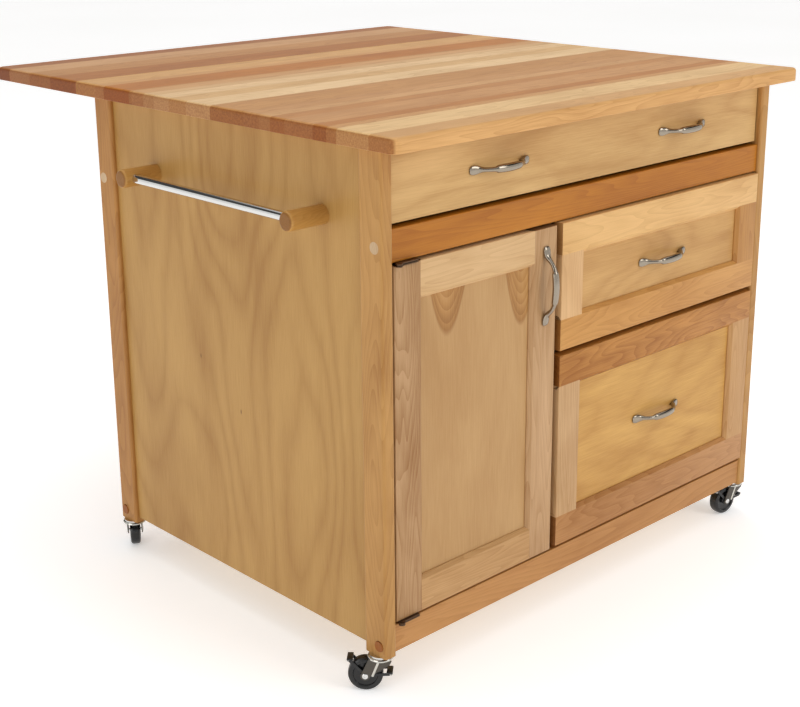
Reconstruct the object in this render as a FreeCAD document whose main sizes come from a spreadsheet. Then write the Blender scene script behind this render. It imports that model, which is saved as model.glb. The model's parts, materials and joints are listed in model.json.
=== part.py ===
import FreeCAD, Part
import math
import os
import re
import Sketcher

# Rolling kitchen island: a cabinet of posts and panels on casters, with a butcher-block top and a
# hinged drop leaf.  Lengths are in millimetres, Z is up and the floor is at Z = 0.  The front, with
# the door and the drawers, faces -Y.  X and Y are laid out from the middle of the cabinet body; the
# whole is then shifted so that the origin is under the middle of the finished object.

os.makedirs("parts", exist_ok=True)
doc = FreeCAD.newDocument("kitchen_island")

# ---------------------------------------------------------------- driving dimensions
SIZES = {
    # overall
    "total_height": 915,
    "body_width": 1008,
    "body_depth": 760,
    # worktop and leaf
    "top_thick": 24,
    "top_side_overhang": 18,
    "top_front_overhang": 48,
    "top_back_overhang": 24,
    "leaf_depth": 296,
    "seam_gap": 1.5,
    "top_corner_radius": 15,
    "top_edge_radius": 6,
    # posts and panels
    "post_thick": 24,
    "post_depth": 50,
    "post_edge_radius": 5,
    "panel_recess": 8,
    "side_panel_thick": 12,
    "panel_floor_step": 10,
    "groove_depth": 6,
    "back_panel_thick": 6,
    "bottom_panel_thick": 12,
    "divider_thick": 16,
    "divider_x": -101,
    # rails
    "rail_thick": 20,
    "rail_height": 52,
    "rail_below_top": 175,
    "rail_recess": 6,
    "toe_rail_lift": 4,
    "toe_rail_height": 49,
    "toe_rail_recess": 4,
    "board_edge_radius": 1.5,
    "cleat_thick": 18,
    "cleat_height": 28,
    # fronts
    "front_thick": 20,
    "front_gap": 3,
    "bay_gap": 10,
    "top_front_inset": 5,
    "top_front_height": 112,
    "door_back_gap": 4,
    "door_bottom_gap": 4.5,
    "door_top_gap": 5,
    "lower_back_gap": 8,
    "deep_bottom_gap": 8,
    "deep_front_height": 354,
    "drawer_front_spacing": 9.5,
    "stile_width": 55,
    "frame_chamfer": 6,
    "frame_panel_setback": 8,
    "frame_panel_thick": 6,
    "frame_groove_depth": 8,
    # drawer boxes and slides
    "box_wall_thick": 12,
    "box_bottom_thick": 5,
    "box_bottom_lift": 10,
    "box_back_gap": 90,
    "slide_height": 36,
    "slide_width": 10,
    "slide_metal": 1.2,
    "slide_clearance": 0.6,
    "slide_front_gap": 2,
    "slide_back_gap": 3,
    "runner_back_gap": 132,
    "top_box_margin": 36,
    "middle_box_margin": 73.5,
    "deep_box_margin": 94,
    # pulls
    "pull_spacing": 96,
    "pull_rise": 26,
    "pull_bar_radius": 4,
    "pull_foot_length": 30,
    "pull_foot_width": 13,
    "pull_foot_thick": 4,
    "pull_offset_x": 240,
    "pull_screw_radius": 2,
    # towel bar
    "towel_below_top": 119,
    "towel_back_y": 205,
    "towel_span": 444,
    "dowel_radius": 16,
    "dowel_length": 74,
    "tube_radius": 8,
    "tube_from_end": 22,
    "tube_seat": 9,
    "tube_wall": 1,
    # plugs and screws
    "plug_radius": 9.5,
    "plug_depth": 6,
    "plug_dome": 2,
    "screw_radius": 3,
    "screw_length": 70,
    "toe_screw_lift": 15,
    # shelf
    "shelf_thick": 14,
    "shelf_height": 400,
    "shelf_side_gap": 2,
    "pin_radius": 2.5,
    "pin_length": 16,
    "pin_seat": 6,
    # door pivots and catch
    "pivot_x_inset": 6,
    "pivot_y_proud": 5,
    "pivot_radius": 2.5,
    "pivot_plate_thick": 1.8,
    "pivot_plate_length": 40,
    "pivot_eye_gap": 0.5,
    "pivot_pin_spare": 2,
    "catch_width": 45,
    "strike_thick": 1.5,
    "catch_gap": 0.5,
    # leaf hinges
    "hinge_length": 64,
    "hinge_plate_width": 30,
    "hinge_plate_thick": 2,
    "hinge_barrel_radius": 3,
    "hinge_pin_radius": 1.5,
    "hinge_clearance": 0.3,
    "hinge_offset_x": 400,
    # folding stays of the leaf
    "stay_offset_x": 330,
    "stay_lower_drop": 146,
    "stay_lower_back": 12,
    "stay_leaf_reach": 140,
    "stay_leaf_drop": 7,
    "stay_metal": 2.5,
    "stay_width": 16,
    "stay_pin_radius": 3,
    "stay_gap": 0.3,
    "stay_ear_thick": 2,
    "stay_foot_width": 24,
    "stay_foot_length": 38.4,
    "stay_pin_short": 0.1,
    # casters
    "wheel_radius": 29,
    "wheel_width": 20,
    "wheel_tread_radius": 4,
    "wheel_headroom": 7,
    "wheel_dish": 2,
    "hub_radius": 7,
    "caster_trail": 25,
    "axle_radius": 3,
    "axle_head_radius": 5,
    "axle_head_thick": 1.5,
    "fork_inner_width": 25,
    "fork_metal": 2,
    "fork_disc_radius": 22,
    "fork_edge_radius": 4,
    "raceway_radius": 19,
    "raceway_thick": 2.5,
    "swivel_gap": 0.3,
    "kingpin_radius": 4,
    "kingpin_head_radius": 7,
    "kingpin_head_thick": 2,
    "stem_length": 36,
    "brake_metal": 1.2,
    "brake_side_gap": 0.6,
    "brake_leg_radius": 3.5,
    "brake_eye_radius": 6,
    "brake_tab_length": 12,
    "brake_tab_height": 6,
    "brake_tab_inset": 0.3,
    "running_clearance": 0.05,
}

# Lengths worked out from the driving dimensions, in the same names.
DERIVED = {
    "top_width": "body_width + 2 * top_side_overhang",
    "under_top": "total_height - top_thick",
    "body_floor_gap": "2 * wheel_radius + wheel_headroom",
    "front_face": "-body_depth / 2",
    "back_face": "body_depth / 2",
    "top_front_y": "front_face - top_front_overhang",
    "seam_y": "back_face + top_back_overhang",
    "leaf_end_y": "seam_y + leaf_depth",
    "inner_half": "body_width / 2 - post_thick",
    "panel_face": "body_width / 2 - panel_recess",
    "panel_inner": "panel_face - side_panel_thick",
    "panel_bottom": "body_floor_gap + panel_floor_step",
    "dowel_end": "panel_face + dowel_length",
    "shift_x": "(dowel_end - top_width / 2) / 2",
    "shift_y": "-(top_front_y + leaf_end_y) / 2",
    "rail_bottom_z": "under_top - rail_below_top",
    "rail_top_z": "rail_bottom_z + rail_height",
    "rail_front": "front_face + rail_recess",
    "rail_back": "rail_front + rail_thick",
    "toe_rail_bottom_z": "body_floor_gap + toe_rail_lift",
    "toe_top_z": "toe_rail_bottom_z + toe_rail_height",
    "toe_front": "front_face + toe_rail_recess",
    "back_rail_front": "-rail_back",
    "back_panel_front": "back_rail_front - back_panel_thick",
    "door_back": "rail_back - door_back_gap",
    "door_face": "door_back - front_thick",
    "door_left": "-inner_half + front_gap",
    "door_right": "divider_x - bay_gap / 2",
    "door_width": "door_right - door_left",
    "door_top": "rail_bottom_z - door_top_gap",
    "door_bottom_z": "toe_top_z + door_bottom_gap",
    "door_height": "door_top - door_bottom_z",
    "lower_back": "rail_back - lower_back_gap",
    "lower_face": "lower_back - front_thick",
    "lower_left": "divider_x + bay_gap / 2",
    "lower_right": "inner_half - front_gap / 2",
    "lower_width": "lower_right - lower_left",
    "deep_bottom": "toe_top_z + deep_bottom_gap",
    "deep_top": "deep_bottom + deep_front_height",
    "middle_bottom": "deep_top + drawer_front_spacing",
    "middle_top": "rail_bottom_z - front_gap",
    "middle_height": "middle_top - middle_bottom",
    "top_front_back": "rail_back + top_front_inset",
    "top_front_face": "top_front_back - front_thick",
    "top_front_bottom": "rail_top_z + front_gap * 2",
    "top_front_width": "2 * inner_half - 2 * front_gap",
    "towel_height": "under_top - towel_below_top",
    "box_depth": "back_panel_front - box_back_gap - lower_back",
    "top_box_height": "top_front_height - top_box_margin",
    "middle_box_height": "middle_height - middle_box_margin",
    "deep_box_height": "deep_front_height - deep_box_margin",
    "slide_front": "top_front_back + slide_front_gap",
    "slide_length": "back_panel_front - slide_back_gap - slide_front",
    "runner_length": "slide_length - runner_back_gap",
    "slide_total": "slide_width + slide_clearance + slide_metal",
    "hinge_y": "seam_y + seam_gap / 2",
    "hinge_z": "under_top - hinge_barrel_radius - hinge_clearance",
    "stay_low_y": "hinge_y - stay_lower_back",
    "stay_low_z": "hinge_z - stay_lower_drop",
    "stay_leaf_y": "hinge_y + stay_leaf_reach",
    "stay_leaf_z": "hinge_z - stay_leaf_drop",
    "caster_x": "body_width / 2 - post_thick / 2",
    "caster_y": "body_depth / 2 - post_depth / 2",
    "raceway_z": "body_floor_gap - raceway_thick",
    "fork_top": "raceway_z - swivel_gap",
    "pivot_x": "door_left + pivot_x_inset",
    "pivot_y": "door_face - pivot_y_proud",
    "divider_right": "divider_x + divider_thick / 2",
    "divider_left": "divider_x - divider_thick / 2",
    "head_top": "fork_top - fork_metal - swivel_gap",
}

sheet = doc.addObject("Spreadsheet::Sheet", "Size")
for row, (alias, value) in enumerate(SIZES.items(), start=1):
    sheet.set(f"A{row}", alias.replace("_", " "))
    sheet.set(f"B{row}", str(value))
    sheet.setAlias(f"B{row}", alias)
doc.recompute()


# ---------------------------------------------------------------- helpers
def formula(text):
    """Write a length given in plain names as an expression on the sheet's cells."""
    def swap(match):
        word = match.group(0)
        if word in DERIVED:
            return "(" + formula(DERIVED[word]) + ")"
        if word in SIZES:
            return "Size." + word
        return word
    return re.sub(r"[a-z][a-z_]*[a-z]", swap, str(text))


def number(text):
    """Value of a length given in plain names."""
    return float(sheet.evalExpression(formula(text)))


def bind(item, **lengths):
    """Bind properties of an object to lengths given in plain names."""
    for name, text in lengths.items():
        item.setExpression(name, formula(text))


def stand(item, x, y, z, axis="z", turn=0):
    """Put an object at a point of the cabinet, its own Z along the given axis."""
    lay = {
        "z": FreeCAD.Rotation(),
        "x": FreeCAD.Rotation(FreeCAD.Vector(0, 1, 0), 90),
        "y": FreeCAD.Rotation(FreeCAD.Vector(1, 0, 0), -90),
        "-x": FreeCAD.Rotation(FreeCAD.Vector(0, 1, 0), -90),
        "-y": FreeCAD.Rotation(FreeCAD.Vector(1, 0, 0), 90),
        "-z": FreeCAD.Rotation(FreeCAD.Vector(1, 0, 0), 180),
    }[axis]
    spin = FreeCAD.Rotation(FreeCAD.Vector(0, 0, 1), turn)
    item.Placement = FreeCAD.Placement(FreeCAD.Vector(), spin.multiply(lay))
    item.setExpression("Placement.Base.x", formula(f"{x} + shift_x"))
    item.setExpression("Placement.Base.y", formula(f"{y} + shift_y"))
    item.setExpression("Placement.Base.z", formula(z))
    return item


def box(name, size, at):
    """Plain block, its lowest corner at the given point."""
    item = doc.addObject("Part::Box", name)
    bind(item, Length=size[0], Width=size[1], Height=size[2])
    return stand(item, *at)


def rod(name, radius, length, at, axis="z"):
    """Plain cylinder that starts at the given point and runs along an axis."""
    item = doc.addObject("Part::Cylinder", name)
    bind(item, Radius=radius, Height=length)
    return stand(item, *at, axis=axis)


def cut(name, base, *tools):
    """One solid with one or more tools taken out of it."""
    for index, tool in enumerate(tools):
        item = doc.addObject("Part::Cut", name if index == len(tools) - 1 else name + "_step")
        item.Base = base
        item.Tool = tool
        base = item
    return base


def join(name, *pieces):
    """Several solids welded into one."""
    item = doc.addObject("Part::MultiFuse", name)
    item.Shapes = list(pieces)
    item.Refine = True
    return item


def group(name, pieces):
    """Separate solids that share one node."""
    item = doc.addObject("Part::Compound", name)
    item.Links = list(pieces)
    return item


def edges_at(shape, places):
    """Names of a block's straight edges, each place being (direction, x, y, z) with low, high or any."""
    span = {}
    for letter in "xyz":
        values = [getattr(vertex.Point, letter) for vertex in shape.Vertexes]
        span[letter] = (min(values), max(values))

    def fits(edge, place):
        direction, *where = place
        middle = edge.CenterOfMass
        first, last = edge.firstVertex().Point, edge.lastVertex().Point
        run = last - first
        if abs(getattr(run, direction)) < 0.9 * run.Length:
            return False
        for letter, side in zip("xyz", where):
            if side == "any":
                continue
            target = span[letter][0 if side == "low" else 1]
            if abs(getattr(middle, letter) - target) > 0.01:
                return False
        return True

    return [
        f"Edge{index}"
        for index, edge in enumerate(shape.Edges, start=1)
        if any(fits(edge, place) for place in places)
    ]


LONG_X = [([("x", "any", "any", "any")], "board_edge_radius")]


def board(name, size, at, eased=(), chamfered=()):
    """Sawn board: a rectangle padded to its height, with eased and chamfered edges."""
    body = doc.addObject("PartDesign::Body", name)
    sketch = body.newObject("Sketcher::SketchObject", name + "_outline")
    plane = next(f for f in body.Origin.OriginFeatures if f.Role == "XY_Plane")
    sketch.AttachmentSupport = [(plane, "")]
    sketch.MapMode = "FlatFace"
    length, width = number(size[0]), number(size[1])
    corners = [(0, 0), (length, 0), (length, width), (0, width)]
    for start, end in zip(corners, corners[1:] + corners[:1]):
        sketch.addGeometry(Part.LineSegment(FreeCAD.Vector(*start, 0), FreeCAD.Vector(*end, 0)))
    for side in range(4):
        sketch.addConstraint(Sketcher.Constraint("Coincident", side, 2, (side + 1) % 4, 1))
    for side, kind in enumerate(("Horizontal", "Vertical", "Horizontal", "Vertical")):
        sketch.addConstraint(Sketcher.Constraint(kind, side))
    sketch.addConstraint(Sketcher.Constraint("Coincident", 0, 1, -1, 1))
    for side, (label, value) in enumerate((("run", size[0]), ("span", size[1]))):
        kind = "DistanceX" if side == 0 else "DistanceY"
        index = sketch.addConstraint(Sketcher.Constraint(kind, side, 1, side, 2, number(value)))
        sketch.renameConstraint(index, label)
        sketch.setExpression(f"Constraints.{label}", formula(value))
    pad = body.newObject("PartDesign::Pad", name + "_pad")
    pad.Profile = sketch
    bind(pad, Length=size[2])
    doc.recompute()
    last = pad
    if chamfered:
        feature = body.newObject("PartDesign::Chamfer", name + "_chamfer")
        feature.Base = (last, edges_at(last.Shape, chamfered))
        bind(feature, Size="frame_chamfer")
        doc.recompute()
        last = feature
    for places, radius in eased:
        feature = body.newObject("PartDesign::Fillet", name + "_easing")
        feature.Base = (last, edges_at(last.Shape, places))
        bind(feature, Radius=radius)
        doc.recompute()
        last = feature
    body.Tip = last
    return stand(body, *at)


def coded(name, shape, at=("0", "0", "0"), turn=0):
    """A piece whose outline is worked out in code, put where the cabinet stands."""
    item = doc.addObject("Part::Feature", name)
    item.Shape = Part.Compound([shape])
    return stand(item, *at, turn=turn)


def rounded_end(name, item, radius):
    """Round the rim at the far end of a cylinder."""
    feature = doc.addObject("Part::Fillet", name)
    doc.recompute()
    feature.Base = item
    far = item.Placement.multVec(FreeCAD.Vector(0, 0, item.Height.Value))
    rims = [
        index
        for index, edge in enumerate(item.Shape.Edges, start=1)
        if edge.Closed and (edge.CenterOfMass - far).Length < 0.01
    ]
    feature.Edges = [(index, number(radius), number(radius)) for index in rims]
    return feature


def low(side, near, far):
    """Lower coordinate of a piece that lies from near to far on the left (-1) or right (+1)."""
    return f"({near})" if side > 0 else f"-({far})"


SIDES = {"left": -1, "right": 1}
ENDS = {"front": -1, "back": 1}
NODES = {}

# ---------------------------------------------------------------- worktop
# The screws that hold the top come up through cleats along the four sides of the cabinet.
CLEAT_SCREWS = [
    (f"{sx} * (panel_inner - cleat_thick / 2)", f"{ey} * body_depth / 4")
    for sx in (-1, 1)
    for ey in (-1, 1)
] + [
    (f"{sx} * body_width / 5", f"{ey} * (body_depth / 2 - post_depth + cleat_thick / 2)")
    for sx in (-1, 1)
    for ey in (-1, 1)
]


def top_screw(name, x, y):
    """Screw that goes up through a cleat into two thirds of the worktop."""
    length = "cleat_height + top_thick * 2 / 3"
    return rod(name, "screw_radius", length, (x, y, "under_top - cleat_height"))


top_blank = board(
    "top_blank",
    ("top_width", "seam_y - top_front_y", "top_thick"),
    ("-top_width / 2", "top_front_y", "under_top"),
    eased=[
        ([("z", "any", "low", "any")], "top_corner_radius"),
        ([("x", "any", "low", "high")], "top_edge_radius"),
        ([("x", "any", "low", "low")], "board_edge_radius"),
    ],
)
NODES["butcher_block_top"] = cut(
    "butcher_block_top",
    top_blank,
    *[top_screw("top_screw_hole", x, y) for x, y in CLEAT_SCREWS],
)
NODES["drop_leaf"] = board(
    "drop_leaf",
    ("top_width", "leaf_depth - seam_gap", "top_thick"),
    ("-top_width / 2", "seam_y + seam_gap", "under_top"),
    eased=[
        ([("z", "any", "high", "any")], "top_corner_radius"),
        ([("x", "any", "high", "high")], "top_edge_radius"),
        ([("x", "any", "high", "low")], "board_edge_radius"),
    ],
)

# ---------------------------------------------------------------- posts
RAIL_SCREW_HEIGHTS = ("rail_bottom_z + rail_height / 2", "toe_rail_bottom_z + toe_screw_lift")
RAIL_SCREW_Y = "rail_front + rail_thick / 2"


def rail_screw(name, side, end, height, radius="screw_radius", start="0", length="screw_length"):
    """Cylinder on the line of a rail screw, which starts behind its plug and runs inwards."""
    x = f"{side} * (body_width / 2 - {start})"
    y = f"{-end} * ({RAIL_SCREW_Y})"
    return rod(name, radius, length, (x, y, height), axis="-x" if side > 0 else "x")


for end_name, end in ENDS.items():
    for side_name, side in SIDES.items():
        blank = board(
            f"post_{end_name}_{side_name}_blank",
            ("post_thick", "post_depth", "under_top - body_floor_gap"),
            (
                low(side, "body_width / 2 - post_thick", "body_width / 2"),
                low(end, "body_depth / 2 - post_depth", "body_depth / 2"),
                "body_floor_gap",
            ),
            eased=[([("z", "any", "any", "any")], "post_edge_radius")],
        )
        groove = box(
            "panel_groove",
            ("side_panel_thick", "groove_depth", "under_top - panel_bottom"),
            (
                low(side, "panel_inner", "panel_face"),
                low(end, "body_depth / 2 - post_depth", "body_depth / 2 - post_depth + groove_depth"),
                "panel_bottom",
            ),
        )
        stem_bore = rod(
            "stem_bore",
            "kingpin_radius",
            "stem_length",
            (f"{side} * caster_x", f"{end} * caster_y", "body_floor_gap"),
        )
        holes = [groove, stem_bore]
        for height in RAIL_SCREW_HEIGHTS:
            holes.append(rail_screw("screw_hole", side, end, height))
            holes.append(rail_screw("plug_hole", side, end, height, "plug_radius", length="plug_depth"))
        name = f"post_{end_name}_{side_name}"
        NODES[name] = cut(name, blank, *holes)

# ---------------------------------------------------------------- panels and divider
SHELF_PIN_Y = "body_depth / 3"


def shelf_pin(name, side, end):
    """Pin that stands out of the left side panel (-1) or of the divider (+1), under the shelf."""
    if side < 0:
        start, axis = "-panel_inner - pin_seat", "x"
    else:
        start, axis = "divider_left + pin_seat", "-x"
    at = (start, f"{end} * {SHELF_PIN_Y}", "shelf_height - pin_radius")
    return rod(name, "pin_radius", "pin_length", at, axis=axis)


def towel_screw(name, y):
    """Screw from inside the cabinet through the left panel into a towel-bar dowel."""
    at = ("-panel_inner", y, "towel_height")
    return rod(name, "screw_radius", "screw_length * 2 / 3", at, axis="-x")


TOWEL_ENDS = {"back": "towel_back_y", "front": "towel_back_y - towel_span"}
panel_size = (
    "side_panel_thick",
    "body_depth - 2 * post_depth + 2 * groove_depth",
    "under_top - panel_bottom",
)
panel_y = "-(body_depth / 2 - post_depth + groove_depth)"
left_panel = box("left_panel_blank", panel_size, ("-panel_face", panel_y, "panel_bottom"))
left_panel = cut(
    "side_panel_left",
    left_panel,
    *[towel_screw("towel_screw_hole", y) for y in TOWEL_ENDS.values()],
    *[shelf_pin("pin_hole", -1, end) for end in (-1, 1)],
)
right_panel = box("side_panel_right", panel_size, ("panel_inner", panel_y, "panel_bottom"))
NODES["side_panels"] = group("side_panels", [left_panel, right_panel])
NODES["back_panel"] = box(
    "back_panel",
    ("2 * inner_half", "back_panel_thick", "under_top - toe_rail_bottom_z"),
    ("-inner_half", "back_panel_front", "toe_rail_bottom_z"),
)
NODES["bottom_panel"] = box(
    "bottom_panel",
    ("2 * inner_half", "back_panel_front - toe_front - rail_thick", "bottom_panel_thick"),
    ("-inner_half", "toe_front + rail_thick", "toe_top_z - bottom_panel_thick"),
)
divider = box(
    "divider_blank",
    ("divider_thick", "back_panel_front - rail_back", "rail_top_z - toe_top_z"),
    ("divider_left", "rail_back", "toe_top_z"),
)
NODES["centre_divider"] = cut(
    "centre_divider", divider, *[shelf_pin("pin_hole", 1, end) for end in (-1, 1)]
)
NODES["adjustable_shelf"] = board(
    "adjustable_shelf",
    (
        "panel_inner + divider_left - 2 * shelf_side_gap",
        "body_depth - 2 * post_depth - 2 * shelf_side_gap",
        "shelf_thick",
    ),
    (
        "-panel_inner + shelf_side_gap",
        "-body_depth / 2 + post_depth + shelf_side_gap",
        "shelf_height",
    ),
    eased=[([("x", "any", "low", "any")], "board_edge_radius")],
)
NODES["shelf_pins"] = group(
    "shelf_pins", [shelf_pin("shelf_pin", side, end) for side in (-1, 1) for end in (-1, 1)]
)

# ---------------------------------------------------------------- rails, cleats and their screws


def rail(name, y, z, height, end, screw_height):
    """Rail between two posts, held by a long screw from each post."""
    blank = board(
        name + "_blank",
        ("2 * inner_half", "rail_thick", height),
        ("-inner_half", y, z),
        eased=LONG_X,
    )
    return cut(name, blank, *[rail_screw("screw_hole", side, end, screw_height) for side in (-1, 1)])


upper, lower = RAIL_SCREW_HEIGHTS
NODES["front_rail"] = rail("front_rail", "rail_front", "rail_bottom_z", "rail_height", -1, upper)
NODES["toe_rail"] = rail("toe_rail", "toe_front", "toe_rail_bottom_z", "toe_rail_height", -1, lower)
NODES["back_rails"] = group(
    "back_rails",
    [
        rail("back_rail_top", "back_rail_front", "rail_bottom_z", "rail_height", 1, upper),
        rail("back_rail_bottom", "back_rail_front", "toe_rail_bottom_z", "toe_rail_height", 1, lower),
    ],
)
rail_screws = [
    rail_screw("rail_screw", side, end, height, start="plug_depth", length="screw_length - plug_depth")
    for side in (-1, 1)
    for end in (-1, 1)
    for height in RAIL_SCREW_HEIGHTS
]
NODES["screw_plugs"] = group(
    "screw_plugs",
    [
        rail_screw("screw_plug", side, end, upper, "plug_radius", length="plug_depth")
        for side in (-1, 1)
        for end in (-1, 1)
    ],
)


def button_plug(side, end):
    """Plug with a rounded head that stands proud of the post."""
    x = f"{side} * (body_width / 2 - plug_depth)"
    y = f"{-end} * ({RAIL_SCREW_Y})"
    axis = "x" if side > 0 else "-x"
    blank = rod("button_blank", "plug_radius", "plug_depth + plug_dome", (x, y, lower), axis=axis)
    return rounded_end("button_plug", blank, "plug_dome * 0.9")


NODES["button_plugs"] = group(
    "button_plugs", [button_plug(side, end) for side in (-1, 1) for end in (-1, 1)]
)


def cleats():
    """Four cleats under the top: along both sides, the front and the back."""
    between_posts = "body_depth - 2 * post_depth"
    z = "under_top - cleat_height"
    made = []
    for side in (-1, 1):
        x = low(side, "panel_inner - cleat_thick", "panel_inner")
        size = ("cleat_thick", between_posts, "cleat_height")
        made.append(box("side_cleat", size, (x, f"-({between_posts}) / 2", z)))
    for end in (-1, 1):
        y = low(end, f"({between_posts}) / 2", f"({between_posts}) / 2 + cleat_thick")
        size = ("2 * inner_half", "cleat_thick", "cleat_height")
        made.append(box("cross_cleat", size, ("-inner_half", y, z)))
    screws = [top_screw("cleat_hole", x, y) for x, y in CLEAT_SCREWS]
    return [cut("top_cleat", piece, *screws) for piece in made]


NODES["top_cleats"] = group("top_cleats", cleats())
top_screws = [top_screw("top_screw", x, y) for x, y in CLEAT_SCREWS]

# ---------------------------------------------------------------- towel bar


def towel_tube(name, radius):
    """Cylinder on the line of the towel tube, seated in both dowels."""
    seat = "dowel_radius - tube_seat"
    at = ("-(dowel_end - tube_from_end)", f"towel_back_y - towel_span + {seat}", "towel_height")
    return rod(name, radius, f"towel_span - 2 * ({seat})", at, axis="y")


def dowel(y):
    """Turned wooden bracket with a rounded outer end, bored for its screw and for the tube."""
    at = ("-panel_face", y, "towel_height")
    blank = rod("dowel_blank", "dowel_radius", "dowel_length", at, axis="-x")
    turned = rounded_end("dowel_turned", blank, "dowel_radius / 3")
    seat = towel_tube("tube_seat", "tube_radius")
    return cut("towel_dowel", turned, towel_screw("dowel_pilot", y), seat)


NODES["towel_bar_dowels"] = group("towel_bar_dowels", [dowel(y) for y in TOWEL_ENDS.values()])
NODES["towel_bar_tube"] = cut(
    "towel_bar_tube",
    towel_tube("tube_outside", "tube_radius"),
    towel_tube("tube_inside", "tube_radius - tube_wall"),
)
towel_screws = [towel_screw("towel_bar_screw", y) for y in TOWEL_ENDS.values()]
NODES["wood_screws"] = group("wood_screws", rail_screws + top_screws + towel_screws)

# ---------------------------------------------------------------- pulls


def pull_shape():
    """Arched pull along X, bulging to -Y from the face it stands on, with a spade foot at each end."""
    half, rise = number("pull_spacing / 2"), number("pull_rise")
    bar, thick = number("pull_bar_radius"), number("pull_foot_thick")
    ends = [FreeCAD.Vector(sx * half, -thick / 2, 0) for sx in (-1, 1)]
    arch = Part.Arc(ends[0], FreeCAD.Vector(0, -rise, 0), ends[1])
    start = arch.tangent(arch.FirstParameter)[0]
    section = Part.Face(Part.Wire(Part.Circle(ends[0], start, bar).toShape()))
    shape = Part.Wire(arch.toShape()).makePipe(section)
    width = number("pull_foot_width")
    straight = number("pull_foot_length") - width
    for sx in (-1, 1):
        middle = sx * (half + straight / 2)
        corner = FreeCAD.Vector(middle - straight / 2, -thick, -width / 2)
        foot = Part.makeBox(straight, thick, width, corner)
        for tip in (-1, 1):
            at = FreeCAD.Vector(middle + tip * straight / 2, 0, 0)
            foot = foot.fuse(Part.makeCylinder(width / 2, thick, at, FreeCAD.Vector(0, -1, 0)))
        shape = shape.fuse(foot)
    face = Part.makeBox(4 * half, 2 * bar, 4 * bar, FreeCAD.Vector(-2 * half, 0, -2 * bar))
    return shape.cut(face).removeSplitter()


def pull(name, x, y, z, upright=False):
    """Pull on a face at a point, level or upright."""
    shape = pull_shape()
    if upright:
        shape.rotate(FreeCAD.Vector(), FreeCAD.Vector(0, 1, 0), 90)
    return coded(name, shape, (x, y, z))


def pull_screws(name, x, y, z, length, upright=False):
    """Two cylinders on the lines of a pull's screws, which run back from the face."""
    made = []
    for side in (-1, 1):
        across = f"({x}) + {side} * pull_spacing / 2" if not upright else x
        height = f"({z}) + {side} * pull_spacing / 2" if upright else z
        made.append(rod(name, "pull_screw_radius", length, (across, y, height), axis="y"))
    return made


# ---------------------------------------------------------------- frame-and-panel fronts
MEMBER_WIDTH = "(stile_width + frame_chamfer)"


def member(name, along, at, length, inner):
    """Stile (along z) or rail (along x), chamfered and grooved on the side that holds the panel."""
    outer = "low" if inner == "high" else "high"
    offset = f"{MEMBER_WIDTH} - frame_groove_depth" if inner == "high" else "0"
    x, y, z = at
    groove_y = f"({y}) + frame_panel_setback"
    if along == "z":
        size = (MEMBER_WIDTH, "front_thick", length)
        groove_size = ("frame_groove_depth", "frame_panel_thick", length)
        groove_at = (f"({x}) + {offset}", groove_y, z)
        inner_edge, outer_edge = ("z", inner, "low", "any"), ("z", outer, "low", "any")
    else:
        size = (length, "front_thick", MEMBER_WIDTH)
        groove_size = (length, "frame_panel_thick", "frame_groove_depth")
        groove_at = (x, groove_y, f"({z}) + {offset}")
        inner_edge, outer_edge = ("x", "any", "low", inner), ("x", "any", "low", outer)
    blank = board(
        name + "_blank",
        size,
        at,
        chamfered=[inner_edge],
        eased=[([outer_edge], "board_edge_radius")],
    )
    return cut(name, blank, box("panel_groove", groove_size, groove_at))


def framed_front(name, left, face, bottom, width, height, through):
    """Two stiles, two rails and a flat panel; the members named by through run the full size."""
    inset = f"{MEMBER_WIDTH} - frame_groove_depth"
    right = f"({left}) + ({width}) - {MEMBER_WIDTH}"
    top = f"({bottom}) + ({height}) - {MEMBER_WIDTH}"
    if through == "stiles":
        long_ones = [
            member(name + "_stile", "z", (left, face, bottom), height, "high"),
            member(name + "_stile", "z", (right, face, bottom), height, "low"),
        ]
        start, run = f"({left}) + {inset}", f"({width}) - 2 * ({inset})"
        short_ones = [
            member(name + "_rail", "x", (start, face, bottom), run, "high"),
            member(name + "_rail", "x", (start, face, top), run, "low"),
        ]
    else:
        long_ones = [
            member(name + "_rail", "x", (left, face, bottom), width, "high"),
            member(name + "_rail", "x", (left, face, top), width, "low"),
        ]
        start, run = f"({bottom}) + {inset}", f"({height}) - 2 * ({inset})"
        short_ones = [
            member(name + "_stile", "z", (left, face, start), run, "high"),
            member(name + "_stile", "z", (right, face, start), run, "low"),
        ]
    coped = [cut(name + "_coped", piece, *long_ones) for piece in short_ones]
    panel = box(
        name + "_panel_blank",
        (f"({width}) - 2 * ({inset})", "frame_panel_thick", f"({height}) - 2 * ({inset})"),
        (f"({left}) + {inset}", f"({face}) + frame_panel_setback", f"({bottom}) + {inset}"),
    )
    return long_ones + coped, panel


# ---------------------------------------------------------------- drawers


def drawer_box(name, left, right, front, bottom, height, holes):
    """Two sides, a front and a back between them, and a bottom let in between all four."""
    inner = f"({right}) - ({left}) - 2 * box_wall_thick"
    wall_x = f"({left}) + box_wall_thick"
    back_y = f"({front}) + box_depth - box_wall_thick"
    sides = [
        box(name + "_side", ("box_wall_thick", "box_depth", height), (x, front, bottom))
        for x in (left, f"({right}) - box_wall_thick")
    ]
    ends = [
        box(name + "_end", (inner, "box_wall_thick", height), (wall_x, y, bottom))
        for y in (front, back_y)
    ]
    ends[0] = cut(name + "_front_end", ends[0], *holes)
    floor = box(
        name + "_bottom",
        (inner, "box_depth - 2 * box_wall_thick", "box_bottom_thick"),
        (wall_x, f"({front}) + box_wall_thick", f"({bottom}) + box_bottom_lift"),
    )
    return group(name, sides + ends + [floor])


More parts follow.
